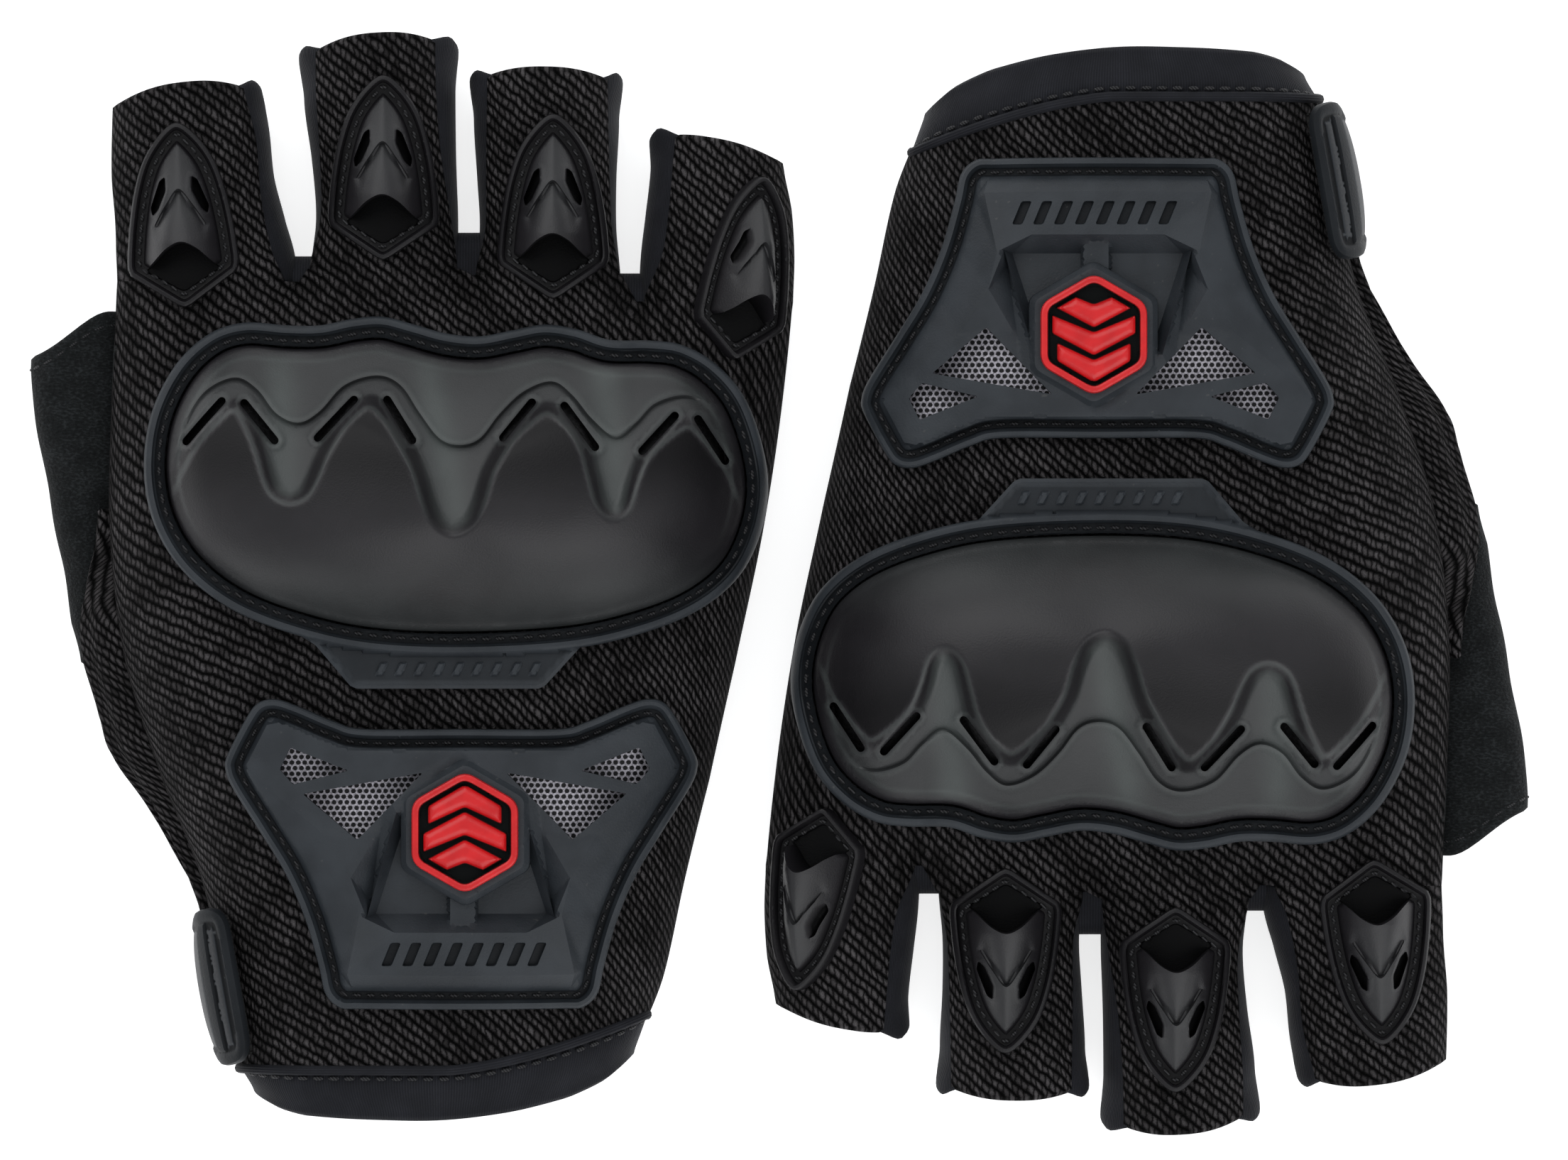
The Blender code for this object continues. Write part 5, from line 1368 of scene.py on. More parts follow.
def knuckle_rim():
    """The knuckle frame with its tab, its stitches, and the bars on the tab."""
    edge = smooth_line(KNUCKLE_EDGE, 0.5, closed=True)
    tab = round_polygon(KNUCKLE_TAB, 1.0, 0.5)
    # The outer line is the frame's own edge, with the tab's edge where that lies outside it.
    kept = edge[~inside(tab, edge)]
    gap = np.argmax(np.linalg.norm(kept - np.roll(kept, -1, 0), axis=1))
    kept = np.roll(kept, -gap - 1, axis=0)
    corners = TAB_CORNERS
    if np.linalg.norm(kept[-1] - corners[0]) > np.linalg.norm(kept[-1] - corners[-1]):
        corners = corners[::-1]
    outline = resample(np.vstack([kept[2:-2], corners]), 0.5, closed=True)
    hole = inset(edge, RIM_WIDTH, 0.5)
    depths = (0.16, 0.42, 0.85, 1.2, BEAD_WIDTH, GROOVE_END, RIM_WIDTH - 0.22)
    lines = closed_lines([*(inset(edge, d, 0.6) for d in depths), inset(outline, 0.5, 0.6)])

    def heights(points):
        """A bead, a groove behind it, the frame's raised inner edge, and the tab's flat plate."""
        d = depth_in(edge, points)
        outer = depth_in(outline, points)
        top = bead(d, BEAD_WIDTH, 1.5, 2.7)
        top = np.where(d > BEAD_WIDTH, 2.0 + (1.25 - 2.0) * smooth(BEAD_WIDTH, GROOVE_END, d), top)
        top = np.where(d > RIM_WIDTH - 0.3, 1.25 + 0.5 * smooth(RIM_WIDTH - 0.3, RIM_WIDTH - 0.1, d), top)
        plate = 1.35 + 0.45 * smooth(1.15, 0.7, outer) * smooth(-0.2, 0.2, outer)
        top = np.where(d < 0, plate, top)
        tint = 0.75 * smooth(BEAD_WIDTH, GROOVE_END, d) + 0.4 * (d < 0) * smooth(0.9, 1.3, outer)
        return top, 0.0, tint

    rim = moulding(outline, [hole], lines, 0.55, heights, on_hand)
    publish("knuckle_rim", rim, "soft_rubber", "hand", ["knuckle_rim"], sharp=38)
    sewn = stitches(on_hand(inset(edge, 2.35, 0.7), 1.42), 2.15, 1.5, 0.27, closed=True)
    publish("knuckle_stitches", sewn, "thread", "hand")
    # Low slanted bars on the tab stand in for its moulded lettering.
    bars = None
    for k in range(TAB_BARS):
        bar = slanted_bar(TAB_BARS_FROM + k * TAB_BARS_PITCH, -14.0, -11.9, 1.3, 0.9, 0.3, 0.25)

        def raised(points, bar=bar):
            """A low top that falls off at the bar's edge."""
            return 1.45 + 0.35 * smooth(0, 0.22, distance_to(bar, points)), 1.0, 0.0

        piece = moulding(bar, [], [], 0.3, raised, on_hand)
        bars = piece if bars is None else bars + piece
    publish("tab_bars", bars, "soft_rubber", "hand", sharp=38)


# The dome's middle and height, x of the valleys between the humps in the apron before them, and
# the three painted highlight streaks down from the arches as x and lean.
SHELL_CENTRE, SHELL_HEIGHT = (7.0, 14.0), 15.2
VALLEYS = (-17.4, 7.0, 31.0)
HIGHLIGHT_STREAKS = ((-18.8, -0.06), (6.6, -0.2), (31.2, -0.1))
SHELL_WALL, SLOT_RADIUS = 1.5, 0.62


def smooth_least(a, b, blend):
    """The lesser of two heights, blended where they are close."""
    share = np.clip(0.5 + 0.5 * (b - a) / blend, 0, 1)
    return b + (a - b) * share - blend * share * (1 - share)


def shell_relief(points, edge):
    """Height, wall and tint of the knuckle shell; the tint holds its painted sheen, highlights and shade."""
    x, y = points[:, 0], points[:, 1]
    depth = depth_in(edge, points)
    # How far out towards the edge each point is, from 0 in the middle to 1.
    cx, cy = SHELL_CENTRE
    turns = np.arctan2(edge[:, 1] - cy, edge[:, 0] - cx)
    order = np.argsort(turns)
    reach = np.hypot(edge[order, 0] - cx, edge[order, 1] - cy)
    out = np.interp(np.arctan2(y - cy, x - cx), turns[order], reach, period=2 * math.pi)
    share = np.clip(np.hypot(x - cx, y - cy) / out, 0, 1)
    # The dome is steeper at its two ends than at its front and back.
    endways = ((x - cx) ** 2) / np.maximum((x - cx) ** 2 + (y - cy) ** 2, 1e-6)
    body = SHELL_HEIGHT * (1 - share ** (2.05 + 0.6 * endways)) ** (1.0 - 0.2 * endways)
    apron = 1.4 + 0.36 * (37.0 - y)
    for valley in VALLEYS:
        apron -= 0.9 * bell(x - valley, 4.6)
    apron = smooth_least(body, apron, 1.6)
    arch = smooth_line(ARCHES, 0.5)
    ridge = smooth_line(RIDGE, 0.5)
    arch_y = np.interp(x, arch[:, 0], arch[:, 1])
    behind = np.sign(arch_y - y) * distance_to(arch, points, closed=False)
    rise = smooth(-1.7, 1.1, behind)
    height = apron + (body - apron) * rise
    # A shallow step runs along the front line, and a crease where each hump starts.
    ridge_y = np.interp(x, ridge[:, 0], ridge[:, 1])
    off = np.sign(ridge_y - y) * distance_to(ridge, points, closed=False)
    room = smooth(1.0, 3.5, depth)
    height -= room * 0.62 * smooth(-0.05, 0.32, off) * np.exp(-np.clip(off - 0.3, 0, 9) / 1.1)
    height += room * 0.22 * bell(off + 0.35, 0.4)
    slots = [distance_to(np.array(ends), points, closed=False) for ends in SLOTS]
    for slot in slots:
        height += 0.34 * bell(slot - 1.1, 0.38)
    height += 0.9 * smooth(0, 0.3, depth) + 0.35 * bell(depth - 0.75, 0.4)
    # The apron and the troughs get a painted green-grey sheen, paler than the humps.
    tint = np.clip(1 - rise * 1.05, 0, 1) ** 1.2 * smooth(-4.0, 12.0, y) * smooth(0.4, 2.5, depth)
    # Painted highlights make edges pale: the arches, the frame's side, the front line and round the slots.
    painted_highlight = 0.8 * bell(behind - 0.6, 0.4) * smooth(7, 14, y)
    painted_highlight += 0.5 * bell(depth - 2.1, 0.3) * smooth(4, 14, y)
    painted_highlight += 0.45 * bell(off + 0.5, 0.35) * room
    for slot in slots:
        painted_highlight += 0.6 * bell(slot - 0.95, 0.25)
    # Painted highlights also run as streaks down the valleys from the arches.
    for at, lean in HIGHLIGHT_STREAKS:
        painted_highlight += 0.95 * bell(x - at - lean * (y - 12), 2.5) * smooth(0.7, 0.1, rise) * smooth(37, 31, y)
    # The humps' front faces get painted shade in dull black, and the dome's back a painted even grey sheen.
    front = rise * smooth(8.0, 20.0, y)
    back = smooth(8.0, -5.0, y)
    pale = 0.15 * tint * (1 - front) + 0.4 * np.clip(painted_highlight, 0, 1.2) * smooth(0.4, 1.6, depth) + 0.2 * back
    return height, depth, pale - 0.62 * front * smooth(0.3, 0.0, painted_highlight)


def capsule(start, end, radius, step):
    """The outline of a slot with round ends."""
    start, end = np.array(start), np.array(end)
    along_slot = (end - start) / np.linalg.norm(end - start)
    side = np.array([-along_slot[1], along_slot[0]])
    turn = np.linspace(0, math.pi, 9)[:, None]
    half = radius * (np.cos(turn) * side + np.sin(turn) * along_slot)
    return resample(np.vstack([end + half, start - half]), step, closed=True)


def knuckle_shell():
    """The hard shell over the knuckles and the foam under it."""
    edge = inset(smooth_line(KNUCKLE_EDGE, 0.5, closed=True), RIM_WIDTH + 0.12, 0.45)
    slots = [capsule(start, end, SLOT_RADIUS, 0.3) for start, end in SLOTS]
    lines = closed_lines(inset(edge, d, 0.5) for d in (0.12, 0.3, 0.7, 1.2))
    ridge = smooth_line(RIDGE, 0.45)
    tangent = unit(np.gradient(ridge, axis=0))
    for shift in (-0.35, 0.0, 0.32, 0.9):
        moved = ridge + np.column_stack([tangent[:, 1], -tangent[:, 0]]) * shift
        lines.append(moved[depth_in(edge, moved) > 1.6])
    lines += closed_lines(capsule(start, end, 1.15, 0.35) for start, end in SLOTS)

    def heights(points):
        """The shell's relief, hollow below except near its edge."""
        top, depth, tint = shell_relief(points, edge)
        return top, np.maximum(top - SHELL_WALL, 0.0) * smooth(0.6, 1.4, depth), tint

    shell = moulding(edge, slots, lines, 0.42, heights, on_hand)
    publish("knuckle_shell", shell, "hard_shell", "hand", ["knuckle_shell"], sharp=55)
    pad = inset(edge, 3.0, 1.2)

    def foam_heights(points):
        """A pad that follows the shell's relief a little below it."""
        top = shell_relief(points, edge)[0]
        return np.maximum(np.minimum(top - 2.2, 1.0 + depth_in(pad, points)), 0.3), 0.0, 0.0

    foam = moulding(pad, [], [], 1.3, foam_heights, on_hand)
    publish("knuckle_foam", foam, "foam", "hand", ["knuckle_foam"])


def plate_outline(step=0.5):
    """The wrist plate's whole edge."""
    right = [(PLATE_X + x, y) for x, y in PLATE_HALF]
    left = [(2 * PLATE_X - x, y) for x, y in reversed(right[1:-1])]
    loop = smooth_line(right + left, 0.25, closed=True)
    return resample(loop, step, closed=True)


def facet_heights():
    """The plate's facets as points with heights, creases and triangles."""
    names = list(FACETS)
    right = [FACETS[name] for name in names]
    points, index = [], {}
    for side in (1, -1):
        for name, (x, y, h) in zip(names, right):
            key = (round(side * x, 3), y)
            if key not in index:
                index[key] = len(points)
                points.append((PLATE_X + side * x, y, h))
    edges = set()
    for pair in CREASES:
        a, b = pair.split()
        for side in (1, -1):
            i = index[(round(side * FACETS[a][0], 3), FACETS[a][1])]
            j = index[(round(side * FACETS[b][0], 3), FACETS[b][1])]
            edges.add((min(i, j), max(i, j)))
    points = np.array(points)
    made = delaunay_2d_cdt([Vector(p[:2]) for p in points], sorted(edges), [], 0, 1e-5, True)
    found = np.array([tuple(v) for v in made[0]])
    nearest = np.argmin(((found[:, None] - points[None, :, :2]) ** 2).sum(2), axis=1)
    return np.column_stack([found, points[nearest, 2]]), np.array(made[2]), points, sorted(edges)


def on_facets(points, corners, triangles):
    """Height of the facet above each 2D point."""
    height = np.full(len(points), -1.0)
    for triangle in triangles:
        a, b, c = corners[triangle]
        area = (b[0] - a[0]) * (c[1] - a[1]) - (c[0] - a[0]) * (b[1] - a[1])
        if abs(area) < 1e-9:
            continue
        s = ((points[:, 0] - a[0]) * (c[1] - a[1]) - (c[0] - a[0]) * (points[:, 1] - a[1])) / area
        t = ((b[0] - a[0]) * (points[:, 1] - a[1]) - (points[:, 0] - a[0]) * (b[1] - a[1])) / area
        hit = (s > -1e-6) & (t > -1e-6) & (s + t < 1 + 1e-6)
        height[hit] = (a[2] + s * (b[2] - a[2]) + t * (c[2] - a[2]))[hit]
    return height


def hexagon(radius, corner, step=0.4):
    """A hexagon round the badge's centre with its corners rounded off."""
    cx, cy = BADGE_CENTRE
    turns = [math.radians(60 * k) for k in range(6)]
    corners = [(cx - radius * math.sin(a), cy + radius * math.cos(a)) for a in turns]
    return round_polygon(corners, corner, step)


# The plate's whole border, the bead along its outer edge and the groove behind that.
PLATE_RIM, PLATE_BEAD, PLATE_GROOVE = 2.9, 1.35, 1.6
BOSS_SLOPE = 0.9
PLATE_RIB = [(5.9, -52.0), (5.9, -44.0), (10.1, -44.0), (10.1, -52.0)]
PLATE_BARS, PLATE_BARS_FROM, PLATE_BARS_PITCH = 8, -4.6, 3.15


def wrist_plate():
    """The wrist plate, its stitches and the net behind its windows. Gives the boss's top z."""
    outline = plate_outline()
    corners, triangles, creases, edges = facet_heights()
    windows = []
    for window in WINDOWS:
        for side in (1, -1):
            windows.append(round_polygon([(WINDOW_X + side * x, y) for x, y in window], 0.3, 0.3))
    depths = (0.14, 0.4, 0.95, PLATE_BEAD, PLATE_GROOVE, PLATE_RIM - 0.3, PLATE_RIM)
    rings = [inset(outline, d, 0.5) for d in depths]
    lines = closed_lines(rings)
    body = rings[-1]
    for i, j in edges:
        line = resample(creases[[i, j], :2], 0.45)
        line = line[depth_in(body, line) > 0.25]
        if len(line) > 2:
            lines.append(line)
    boss, boss_top = hexagon(BOSS_RADIUS, 1.2), hexagon(BOSS_RADIUS - BOSS_SLOPE, 1.0)
    rib = round_polygon(PLATE_RIB, 0.2, 0.4)
    # Slanted grooves stand in for the plate's lettering.
    bars = []
    for k in range(PLATE_BARS):
        x = PLATE_BARS_FROM + k * PLATE_BARS_PITCH
        bars.append(slanted_bar(x, -57.9, -54.3, 1.6, 1.5, 0.35, 0.3))
    rings = [boss, boss_top, hexagon(BOSS_RADIUS + 0.15, 1.2), rib, *bars]
    lines += closed_lines(rings + [inset(bar, 0.18, 0.3) for bar in bars])
    centre_z = float(hand_z(np.array([BADGE_CENTRE[0]]), np.array([BADGE_CENTRE[1]]))[0])

    def heights(points):
        """The border, the facets inside it, the rib, the boss and the slanted grooves."""
        x, y = points[:, 0], points[:, 1]
        d = depth_in(outline, points)
        top = bead(d, PLATE_BEAD, 1.2, 2.2)
        top = np.where(d > PLATE_BEAD, 1.2 - 0.35 * smooth(PLATE_BEAD, PLATE_GROOVE, d), top)
        facets = on_facets(points, corners, triangles)
        facets = np.where(facets < 0, 2.0, facets)
        inner = depth_in(body, points)
        facets = facets - 0.5 * (1 - rounded(np.clip(inner / 0.9, 0, 1)))
        wall = smooth(PLATE_RIM - 0.32, PLATE_RIM - 0.02, d)
        top = top + (facets - top) * wall
        top = np.where(inside(rib, points), np.maximum(top, 3.6), top)
        for bar in bars:
            top -= 0.75 * smooth(0.0, 0.18, depth_in(bar, points))
        in_boss = depth_in(boss, points)
        peak = centre_z - hand_z(x, y) + BOSS_TOP - REST
        raised = peak - 1.3 * (1 - np.clip(in_boss / BOSS_SLOPE, 0, 1))
        top = np.where(in_boss > -0.02, np.maximum(top, raised), top)
        tint = 0.8 * smooth(PLATE_BEAD, PLATE_GROOVE, d) * (1 - wall)
        for bar in bars:
            tint = np.maximum(tint, 0.7 * smooth(0.05, 0.2, depth_in(bar, points)))
        return top, 0.0, tint

    plate = moulding(outline, windows, lines, 0.45, heights, on_hand)
    publish("wrist_plate", plate, "soft_rubber", "hand", ["wrist_plate"], sharp=24)
    sewn = stitches(on_hand(inset(outline, 2.12, 0.7), 1.0), 2.1, 1.5, 0.26, closed=True)
    publish("plate_stitches", sewn, "thread", "hand")
    net_edge = inset(outline, PLATE_RIM + 0.8, 1.0)
    net = moulding(net_edge, [], [], 1.2, lambda points: (0.62, 0.05, 0.0), on_hand)
    publish("plate_mesh", net, "grey_net", "hand", ["plate_mesh"])
    return centre_z + BOSS_TOP


BADGE_RING = 1.15


def badge(top):
    """A red hexagon: a raised ring round three nested arrowheads."""
    cx, cy = BADGE_CENTRE
    outline = hexagon(BADGE_RADIUS, 1.7, 0.3)
    arrows = []
    for low in (-8.6, -4.4, -0.2):
        wide = 6.4 if low < -1 else 5.6
        arrows.append(round_polygon([
            (cx - wide, cy + low + 1.4), (cx, cy + low + 4.0), (cx + wide, cy + low + 1.4),
            (cx + wide, cy + low + 4.2), (cx, cy + low + 7.6), (cx - wide, cy + low + 4.2),
        ], 0.45, 0.25))
    rings = [inset(outline, d, 0.3) for d in (BADGE_RING, 0.15, 1.0)] + arrows
    rings += [inset(arrow, 0.18, 0.25) for arrow in arrows]
    rings += [inset(outline, d, 0.3) for d in (1.75, 1.95)]
    lines = closed_lines(rings)

    def heights(points):
        """A rounded ring and rounded arrowheads over a sunk black ground."""
        d = depth_in(outline, points)
        height = 0.5 + bead(d, BADGE_RING, 0.7, 1.3)
        height = np.where(d > BADGE_RING, 0.55, height)
        tint = np.where(d > 1.08, 1.0, 0.0)
        for arrow in arrows:
            inner = np.minimum(depth_in(arrow, points), d - 1.75)
            height = np.where(inner > -0.01, 0.75 + 1.15 * rounded(np.clip(inner / 1.3, 0, 1)), height)
            tint = np.where(inner > 0.06, 0.0, tint)
        return height, 0.0, tint

    def flat(points, height):
        """Level above the boss."""
        return np.column_stack([points, top + 0.12 + height])

    shape = moulding(outline, [], lines, 0.3, heights, flat)
    publish("badge", shape, "red_badge", "hand", ["badge"], sharp=30)


# The leaning guard is squeezed to this share of its width, seen from above.
GUARD_SQUEEZE = 0.78


def guard(which):
    """A finger guard: a rimmed hood with a mouth at its rear, a step and slots."""
    (cx, cy), turn, lean = GUARDS[which]
    squeeze = GUARD_SQUEEZE if lean else 1.0
    # The sides are a curve, and straight runs lead on to the rear tip.
    side = smooth_line(GUARD_SIDE, 0.4)
    loop = np.vstack([side[side[:, 0] >= 0], GUARD_REAR])
    mirrored = loop[::-1] * (-1, 1)
    outline = resample(np.vstack([loop, mirrored[1:-1]]), 0.35, closed=True)[::-1]
    inner = inset(outline, GUARD_RIM, 0.35)
    mouth = resample(np.vstack([smooth_line(GUARD_LIP, 0.3), GUARD_MOUTH]), 0.3, closed=True)
    # The leaning guard has only the slot on its upper side.
    slots = []
    for sign in ((-1,) if lean else (1, -1)):
        slots.append(round_polygon([(sign * x, y) for x, y in GUARD_SLOT], 0.35, 0.3))
    step_line = smooth_line(GUARD_STEP, 0.3)
    rings = [inset(outline, d, 0.4) for d in (0.12, 0.35, 0.7, 0.95, 1.15, GUARD_RIM - 0.2)]
    rings += [inner, inset(inner, 0.25, 0.35), mouth, inset(mouth, 0.2, 0.3)]
    rings += slots + [inset(slot, 0.17, 0.25) for slot in slots]
    lines = closed_lines(rings) + [step_line, step_line - (0, 0.3)]
    turned, lean_by = math.radians(turn), math.radians(lean)

    def place(points, height):
        """From the guard's own flat frame onto the finger."""
        a, b = points[:, 0] * squeeze, points[:, 1]
        x = cx + math.cos(turned) * a - math.sin(turned) * b
        y = cy + math.sin(turned) * a + math.cos(turned) * b
        z = top_z(which, x, y)
        return np.column_stack([x + math.sin(lean_by) * height, y, z + REST + math.cos(lean_by) * height])

    def heights(points):
        """The rim, the hood with its step, the mouth and the slots."""
        a, b = points[:, 0], points[:, 1]
        d = depth_in(outline, points)
        rim = bead(d, 1.0, 1.0, 1.85)
        rim = np.where(d > 1.0, 1.1 - 0.4 * smooth(1.0, 1.2, d), rim)
        wide = np.maximum(np.interp(b, *zip(*GUARD_WIDTH)) - 2.5, 0.6)
        ridge = np.interp(b, *zip(*GUARD_RIDGE))
        round_off = np.interp(b, [-4.0, 9.0], [2.5, 1.5])
        hood = 1.0 + (ridge - 1.0) * (1 - np.clip(np.abs(a) / wide, 0, 1) ** round_off)
        step_y = np.interp(a, step_line[:, 0], step_line[:, 1])
        off = np.sign(step_y - b) * distance_to(step_line, points, closed=False)
        span = smooth(4.6, 3.2, np.abs(a))
        hood -= span * 1.0 * smooth(-0.03, 0.28, off) * np.exp(-np.clip(off - 0.28, 0, 9) / 1.3)
        for slot in slots:
            hood += 0.2 * bell(distance_to(slot, points) - 0.3, 0.3)
        # Behind the mouth only the low frame is left.
        frame_lip = 1.0 + 0.5 * bell(distance_to(inner, points) - 0.3, 0.3)
        hood = np.where((b < -8.4) & ~inside(mouth, points), frame_lip, hood)
        wall = smooth(GUARD_RIM - 0.15, GUARD_RIM + 0.15, d)
        top = rim + (hood - rim) * wall
        in_mouth = depth_in(mouth, points)
        top = np.where(in_mouth > 0.02, top + (0.35 - top) * smooth(0.02, 0.18, in_mouth), top)
        # Painted highlight: the hood is a little paler along its middle, towards its front.
        tint = 0.09 * wall * np.clip(1 - (np.abs(a) / wide) ** 2, 0, 1) * smooth(-8, 2, b)
        tint -= (0.4 + 0.4 * smooth(1.0, 1.2, d)) * (1 - wall)
        # Painted shade: the mouth's floor is dull black.
        tint = np.where(in_mouth > 0.02, -1.0, tint)
        # The slots are shallow recesses painted dull black as shade.
        for slot in slots:
            in_slot = depth_in(slot, points)
            top = top - 1.6 * smooth(0.0, 0.16, in_slot)
            tint = np.where(in_slot > 0.02, -1.0, tint)
        return top, 0.0, tint

    shape = moulding(outline, [], lines, 0.32, heights, place)
    bend = finger_bend(which)
    publish(f"{which}_guard", shape, "hard_shell", which, [f"{which}_guard"], bend, sharp=38)
    sewn = stitches(place(inset(outline, 1.85, 0.5), 0.85), 1.75, 1.25, 0.26, closed=True)
    publish(f"{which}_stitches", sewn, "thread", which, bend=bend)


# ---------------------------------------------------------------- strap and palm


def strap_point(across, run, up):
    """Where a place on the tilted strap is in the glove."""
    a = math.radians(STRAP_ANGLE)
    x = STRAP_CENTRE[0] + across * math.cos(a) - run * math.sin(a)
    y = STRAP_CENTRE[1] + across * math.sin(a) + run * math.cos(a)
    return np.stack(np.broadcast_arrays(x, y, up), axis=-1)


PROFILE_STEP, TAB_BODY = 0.25, 1.3


def strap_tab():
    """The moulded tab, drawn flat as (distance round its profile, run) and wrapped on."""
    profile = smooth_line(TAB_PROFILE, PROFILE_STEP)
    length = len(profile) * PROFILE_STEP
    at = np.linspace(0, length, len(profile))
    tangent = unit(np.gradient(profile, axis=0))
    normal = np.column_stack([-tangent[:, 1], tangent[:, 0]])

    def place(points, height):
        """From the flat drawing onto the bent, bowed tab."""
        s = np.clip(points[:, 0], 0, length)
        a, u = (np.interp(s, at, profile[:, k]) for k in (0, 1))
        na, nu = (np.interp(s, at, normal[:, k]) for k in (0, 1))
        bow = 2.3 * (np.abs(points[:, 1]) / TAB_HALF) ** 2.5 * smooth(length, length * 0.2, s)
        height = height - TAB_BODY
        return strap_point(a + na * height + bow, points[:, 1], u + nu * height)

    end = length - 0.2
    outline = round_polygon([
        (0.2, 3 - TAB_HALF), (end - 6, 0.3 - TAB_HALF), (end, 1.2 - TAB_HALF),
        (end, TAB_HALF - 0.6), (end - 6, TAB_HALF), (0.2, TAB_HALF - 3),
    ], 3.4, 0.4)
    panels = []
    for low, high in ((end - 4.3, end - 2.7), (end - 12.0, end - 7.8)):
        panels.append(round_polygon([(low, -9.0), (high, -9.0), (high, 9.0), (low, 9.0)], 0.7, 0.35))
    rings = [inset(outline, d, 0.45) for d in (0.2, 0.6, 1.3, 1.8, 2.1)]
    lines = closed_lines(rings + panels + [inset(panel, -0.3, 0.4) for panel in panels])
    rib_at = end - 6.05
    lines += [resample([(rib_at + k, -9.8), (rib_at + k, 9.8)], 0.45) for k in (-1.35, -1.0, 1.0, 1.35)]

    def heights(points):
        """A border bead, a rib across, and two sunk panels."""
        d = depth_in(outline, points)
        top = bead(d, 1.9, 1.1, 1.75)
        top = np.where(d > 1.8, 1.3, top)
        rib = smooth(1.35, 1.0, np.abs(points[:, 0] - rib_at)) * smooth(1.9, 2.5, d)
        top = top + 0.4 * rib
        tint = 0.85 * smooth(1.7, 2.0, d) * (1 - rib)
        for panel in panels:
            inner = depth_in(panel, points)
            top = np.where(inner > 0, 1.45, top)
            tint = np.where(inner > 0, -0.3, tint)
        tint = np.where(tint < 0, tint, np.maximum(tint, 0.6))
        return top, 0.35, tint

    shape = moulding(outline, [], lines, 0.45, heights, place)
    publish("strap_tab", shape, "soft_rubber", "strap", ["strap_tab"], sharp=35)

    def band(low, high, run, top, bottom):
        """A patch of tape under the tab."""
        strip = round_polygon([(low, -run), (high, -run), (high, run), (low, run)], 1.2, 0.8)
        return moulding(strip, [], [], 1.0, lambda points: (top, bottom, 0.0), place)

    hooks = band(end - 12.0, end - 1.2, TAB_HALF - 2.4, 0.28, -0.3)
    publish("hook_patch", hooks, "hook_and_loop", "strap", ["hook_patch"])
    loops = band(end - 12.5, end - 1.0, TAB_HALF - 1.6, -0.75, -1.4)
    publish("loop_patch", loops, "hook_and_loop", "hand", ["loop_patch"])


PUFF_WIDTH, PATCH_SEAM = 6.0, 1.8


def flat_piece(name, outline, bottom, radius, crown):
    """A suede patch on the palm, with softened edges and a row of stitches inside its edge."""
    loop = round_polygon(outline, radius, 1.0)

    def heights(points):
        """Flat against the palm, and puffed up below."""
        d = depth_in(loop, points)
        puff = crown * rounded(np.clip(d / PUFF_WIDTH, 0, 1))
        edge = 0.5 * (1 - rounded(np.clip(d / 0.8, 0, 1)))
        return PALM_Z, bottom - puff + edge, 0.0

    def level(points, z):
        """2D points at this z."""
        return np.column_stack([points, z])

    lines = closed_lines(inset(loop, d, 1.0) for d in (0.3, 0.9))
    shape = moulding(loop, [], lines, 1.6, heights, level)
    publish(name, shape, "suede", "hand", [name])
    path = inset(loop, PATCH_SEAM, 1.0)
    z = bottom - crown * rounded(np.full(len(path), PATCH_SEAM / PUFF_WIDTH))
    sewn = stitches(level(path, z), WIDE_PITCH, 1.6, 0.22, closed=True)
    publish(f"{name}_stitches", sewn, "thread", "hand")


STRAP_STEP, STRAP_HALF, STRAP_COLUMNS = 1.2, 9.0, 15


def palm_pieces():
    """The two palm patches and the strap that runs under the wrist to its tab."""
    flat_piece("palm_pad", HEEL_PAD, 1.1, 6.0, 0.9)
    flat_piece("grip_patch", GRIP_PATCH, 0.5, 5.0, 0.3)
    path = smooth_line(PALM_STRAP, STRAP_STEP)
    run = np.linspace(-STRAP_HALF, STRAP_HALF, STRAP_COLUMNS)
    grid = np.array([strap_point(across, run, up + 0 * run) for across, up in path])
    along_strap = (np.arange(len(path)) * STRAP_STEP)[:, None]
    cloth = np.stack(np.broadcast_arrays(run[None, :], along_strap), axis=-1)
    strap = slab(grid, STRAP_WALL, side=-1.0, bulge=0.3, cloth=cloth)
    bend = [tuple(strap_point(STRAP_PIVOT[0], 0.0, z)) for z in (1.8, 5.2)]
    publish("palm_strap", strap, "webbing", "strap", ["palm_strap"], bend, sharp=60)


# ---------------------------------------------------------------- the table, light and camera


def add_light(name, place, target, size, power):
    """A rectangular area light aimed at a target."""
    light = bpy.data.lights.new(name, "AREA")
    light.shape = "RECTANGLE"
    light.size, light.size_y = size
    light.energy = power
    lamp = bpy.data.objects.new(name, light)
    lamp.location = place
    lamp.rotation_euler = (Vector(target) - Vector(place)).to_track_quat("-Z", "Y").to_euler()
    bpy.context.scene.collection.objects.link(lamp)


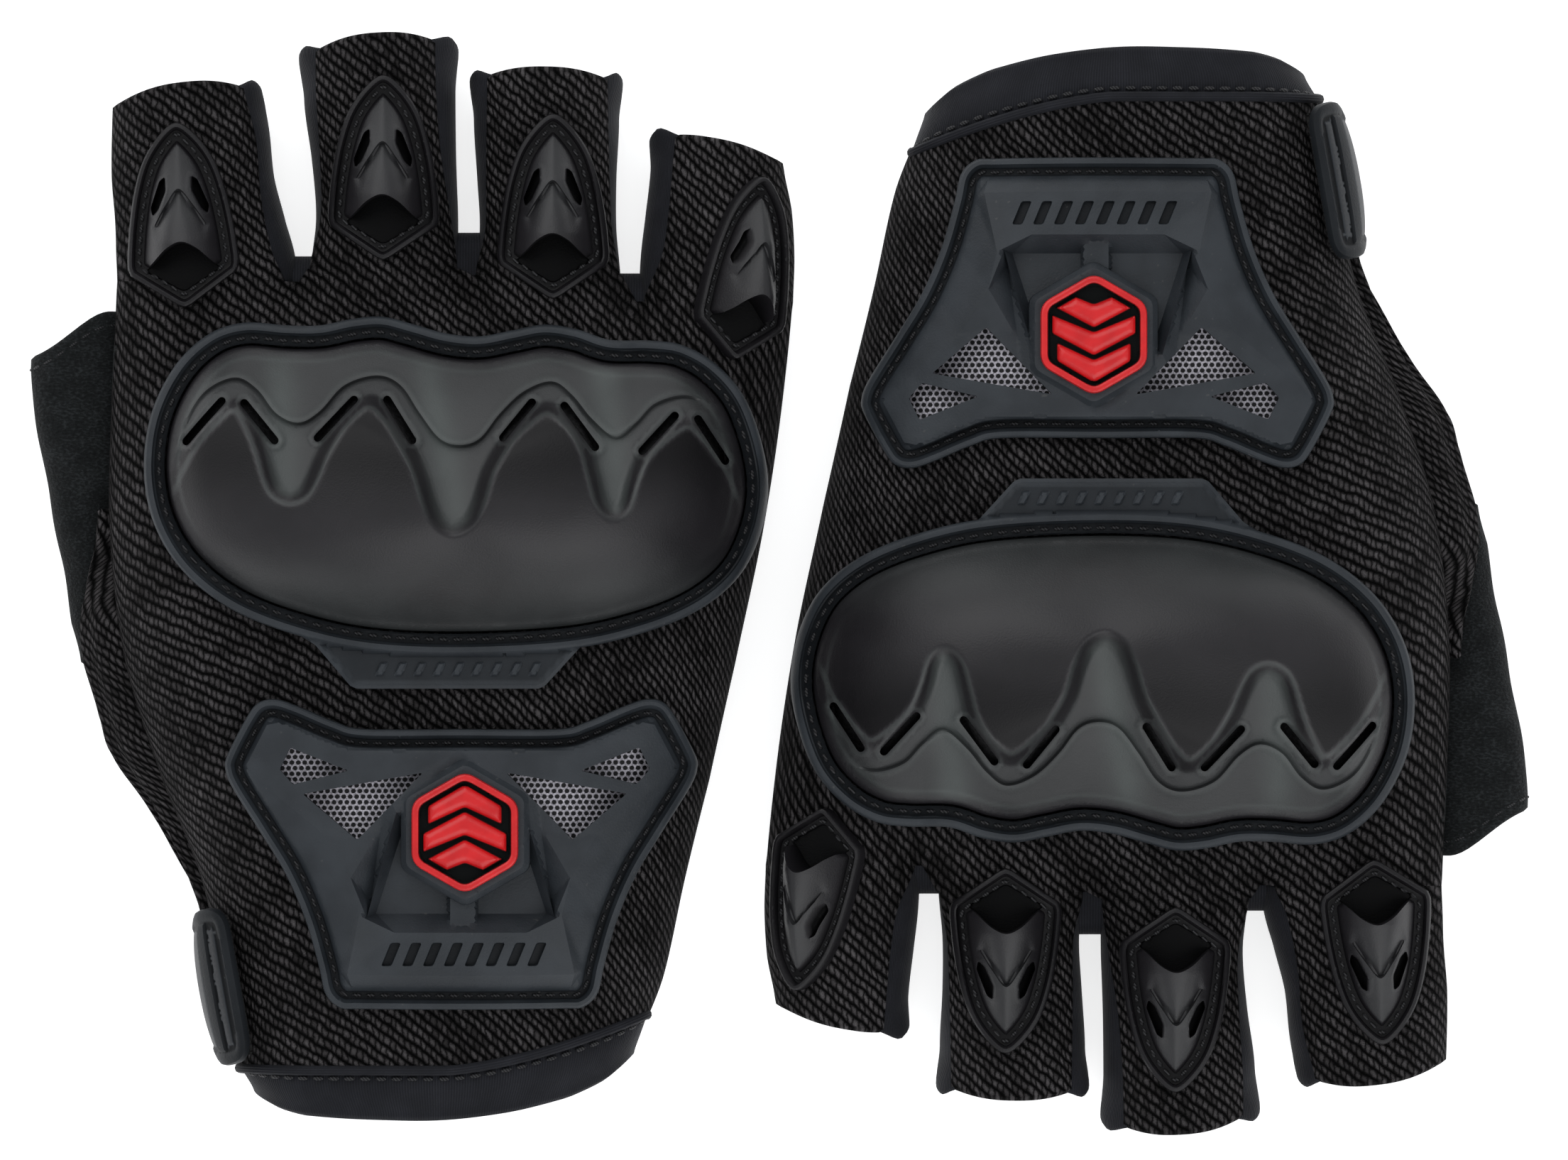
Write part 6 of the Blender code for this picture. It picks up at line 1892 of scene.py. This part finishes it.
def table_and_light():
    """The pale table, the grey-white surroundings, two soft boxes and the camera."""
    mesh = bpy.data.meshes.new("table")
    r = TABLE_REACH
    mesh.from_pydata([(-r, -r, 0), (r, -r, 0), (r, r, 0), (-r, r, 0)], [], [(0, 1, 2, 3)])
    finish = bpy.data.materials.new("table")
    finish.use_nodes = True
    shader = finish.node_tree.nodes["Principled BSDF"]
    shader.inputs["Base Color"].default_value = (0.93, 0.93, 0.93, 1.0)
    shader.inputs["Roughness"].default_value = 0.8
    shader.inputs["Emission Color"].default_value = (1.0, 1.0, 1.0, 1.0)
    shader.inputs["Emission Strength"].default_value = 0.7
    mesh.materials.append(finish)
    table = bpy.data.objects.new("table", mesh)
    table.location = (0, 0, -0.0006)
    bpy.context.scene.collection.objects.link(table)
    bpy.context.scene.view_settings.view_transform = "Standard"
    world = bpy.data.worlds.new("studio")
    world.use_nodes = True
    world.node_tree.nodes["Background"].inputs["Color"].default_value = (0.95, 0.97, 1.0, 1.0)
    world.node_tree.nodes["Background"].inputs["Strength"].default_value = 0.5
    bpy.context.scene.world = world
    # Two broad soft boxes, beyond opposite corners of the pair.
    for sign in (1, -1):
        place = (-0.34 * sign, 0.66 * sign, 0.72)
        add_light(f"softbox_{sign}", place, (0.0, 0.0, 0.0), (1.3, 0.9), 4.6)
    camera = bpy.data.cameras.new("camera")
    camera.lens, camera.sensor_width = CAMERA_LENS, SENSOR_WIDTH
    camera.clip_start, camera.clip_end = 0.05, 20.0
    view = bpy.data.objects.new("camera", camera)
    view.location = (CAMERA_X, CAMERA_Y, CAMERA_HEIGHT)
    bpy.context.scene.collection.objects.link(view)
    bpy.context.scene.camera = view


def main():
    """Makes the whole scene."""
    table_and_light()
    back, back_grid = back_of_hand()
    publish("back_panel", back, "knit", "hand", ["back_panel"], sharp=FABRIC_SHARP)
    publish("palm_panel", palm_of_hand(), "suede", "hand", ["palm_panel"], sharp=FABRIC_SHARP)
    fingers()
    webs()
    cuff(back_grid)
    thumb()
    gusset()
    knuckle_rim()
    knuckle_shell()
    top = wrist_plate()
    badge(top)
    for which in GUARDS:
        guard(which)
    strap_tab()
    palm_pieces()


main()
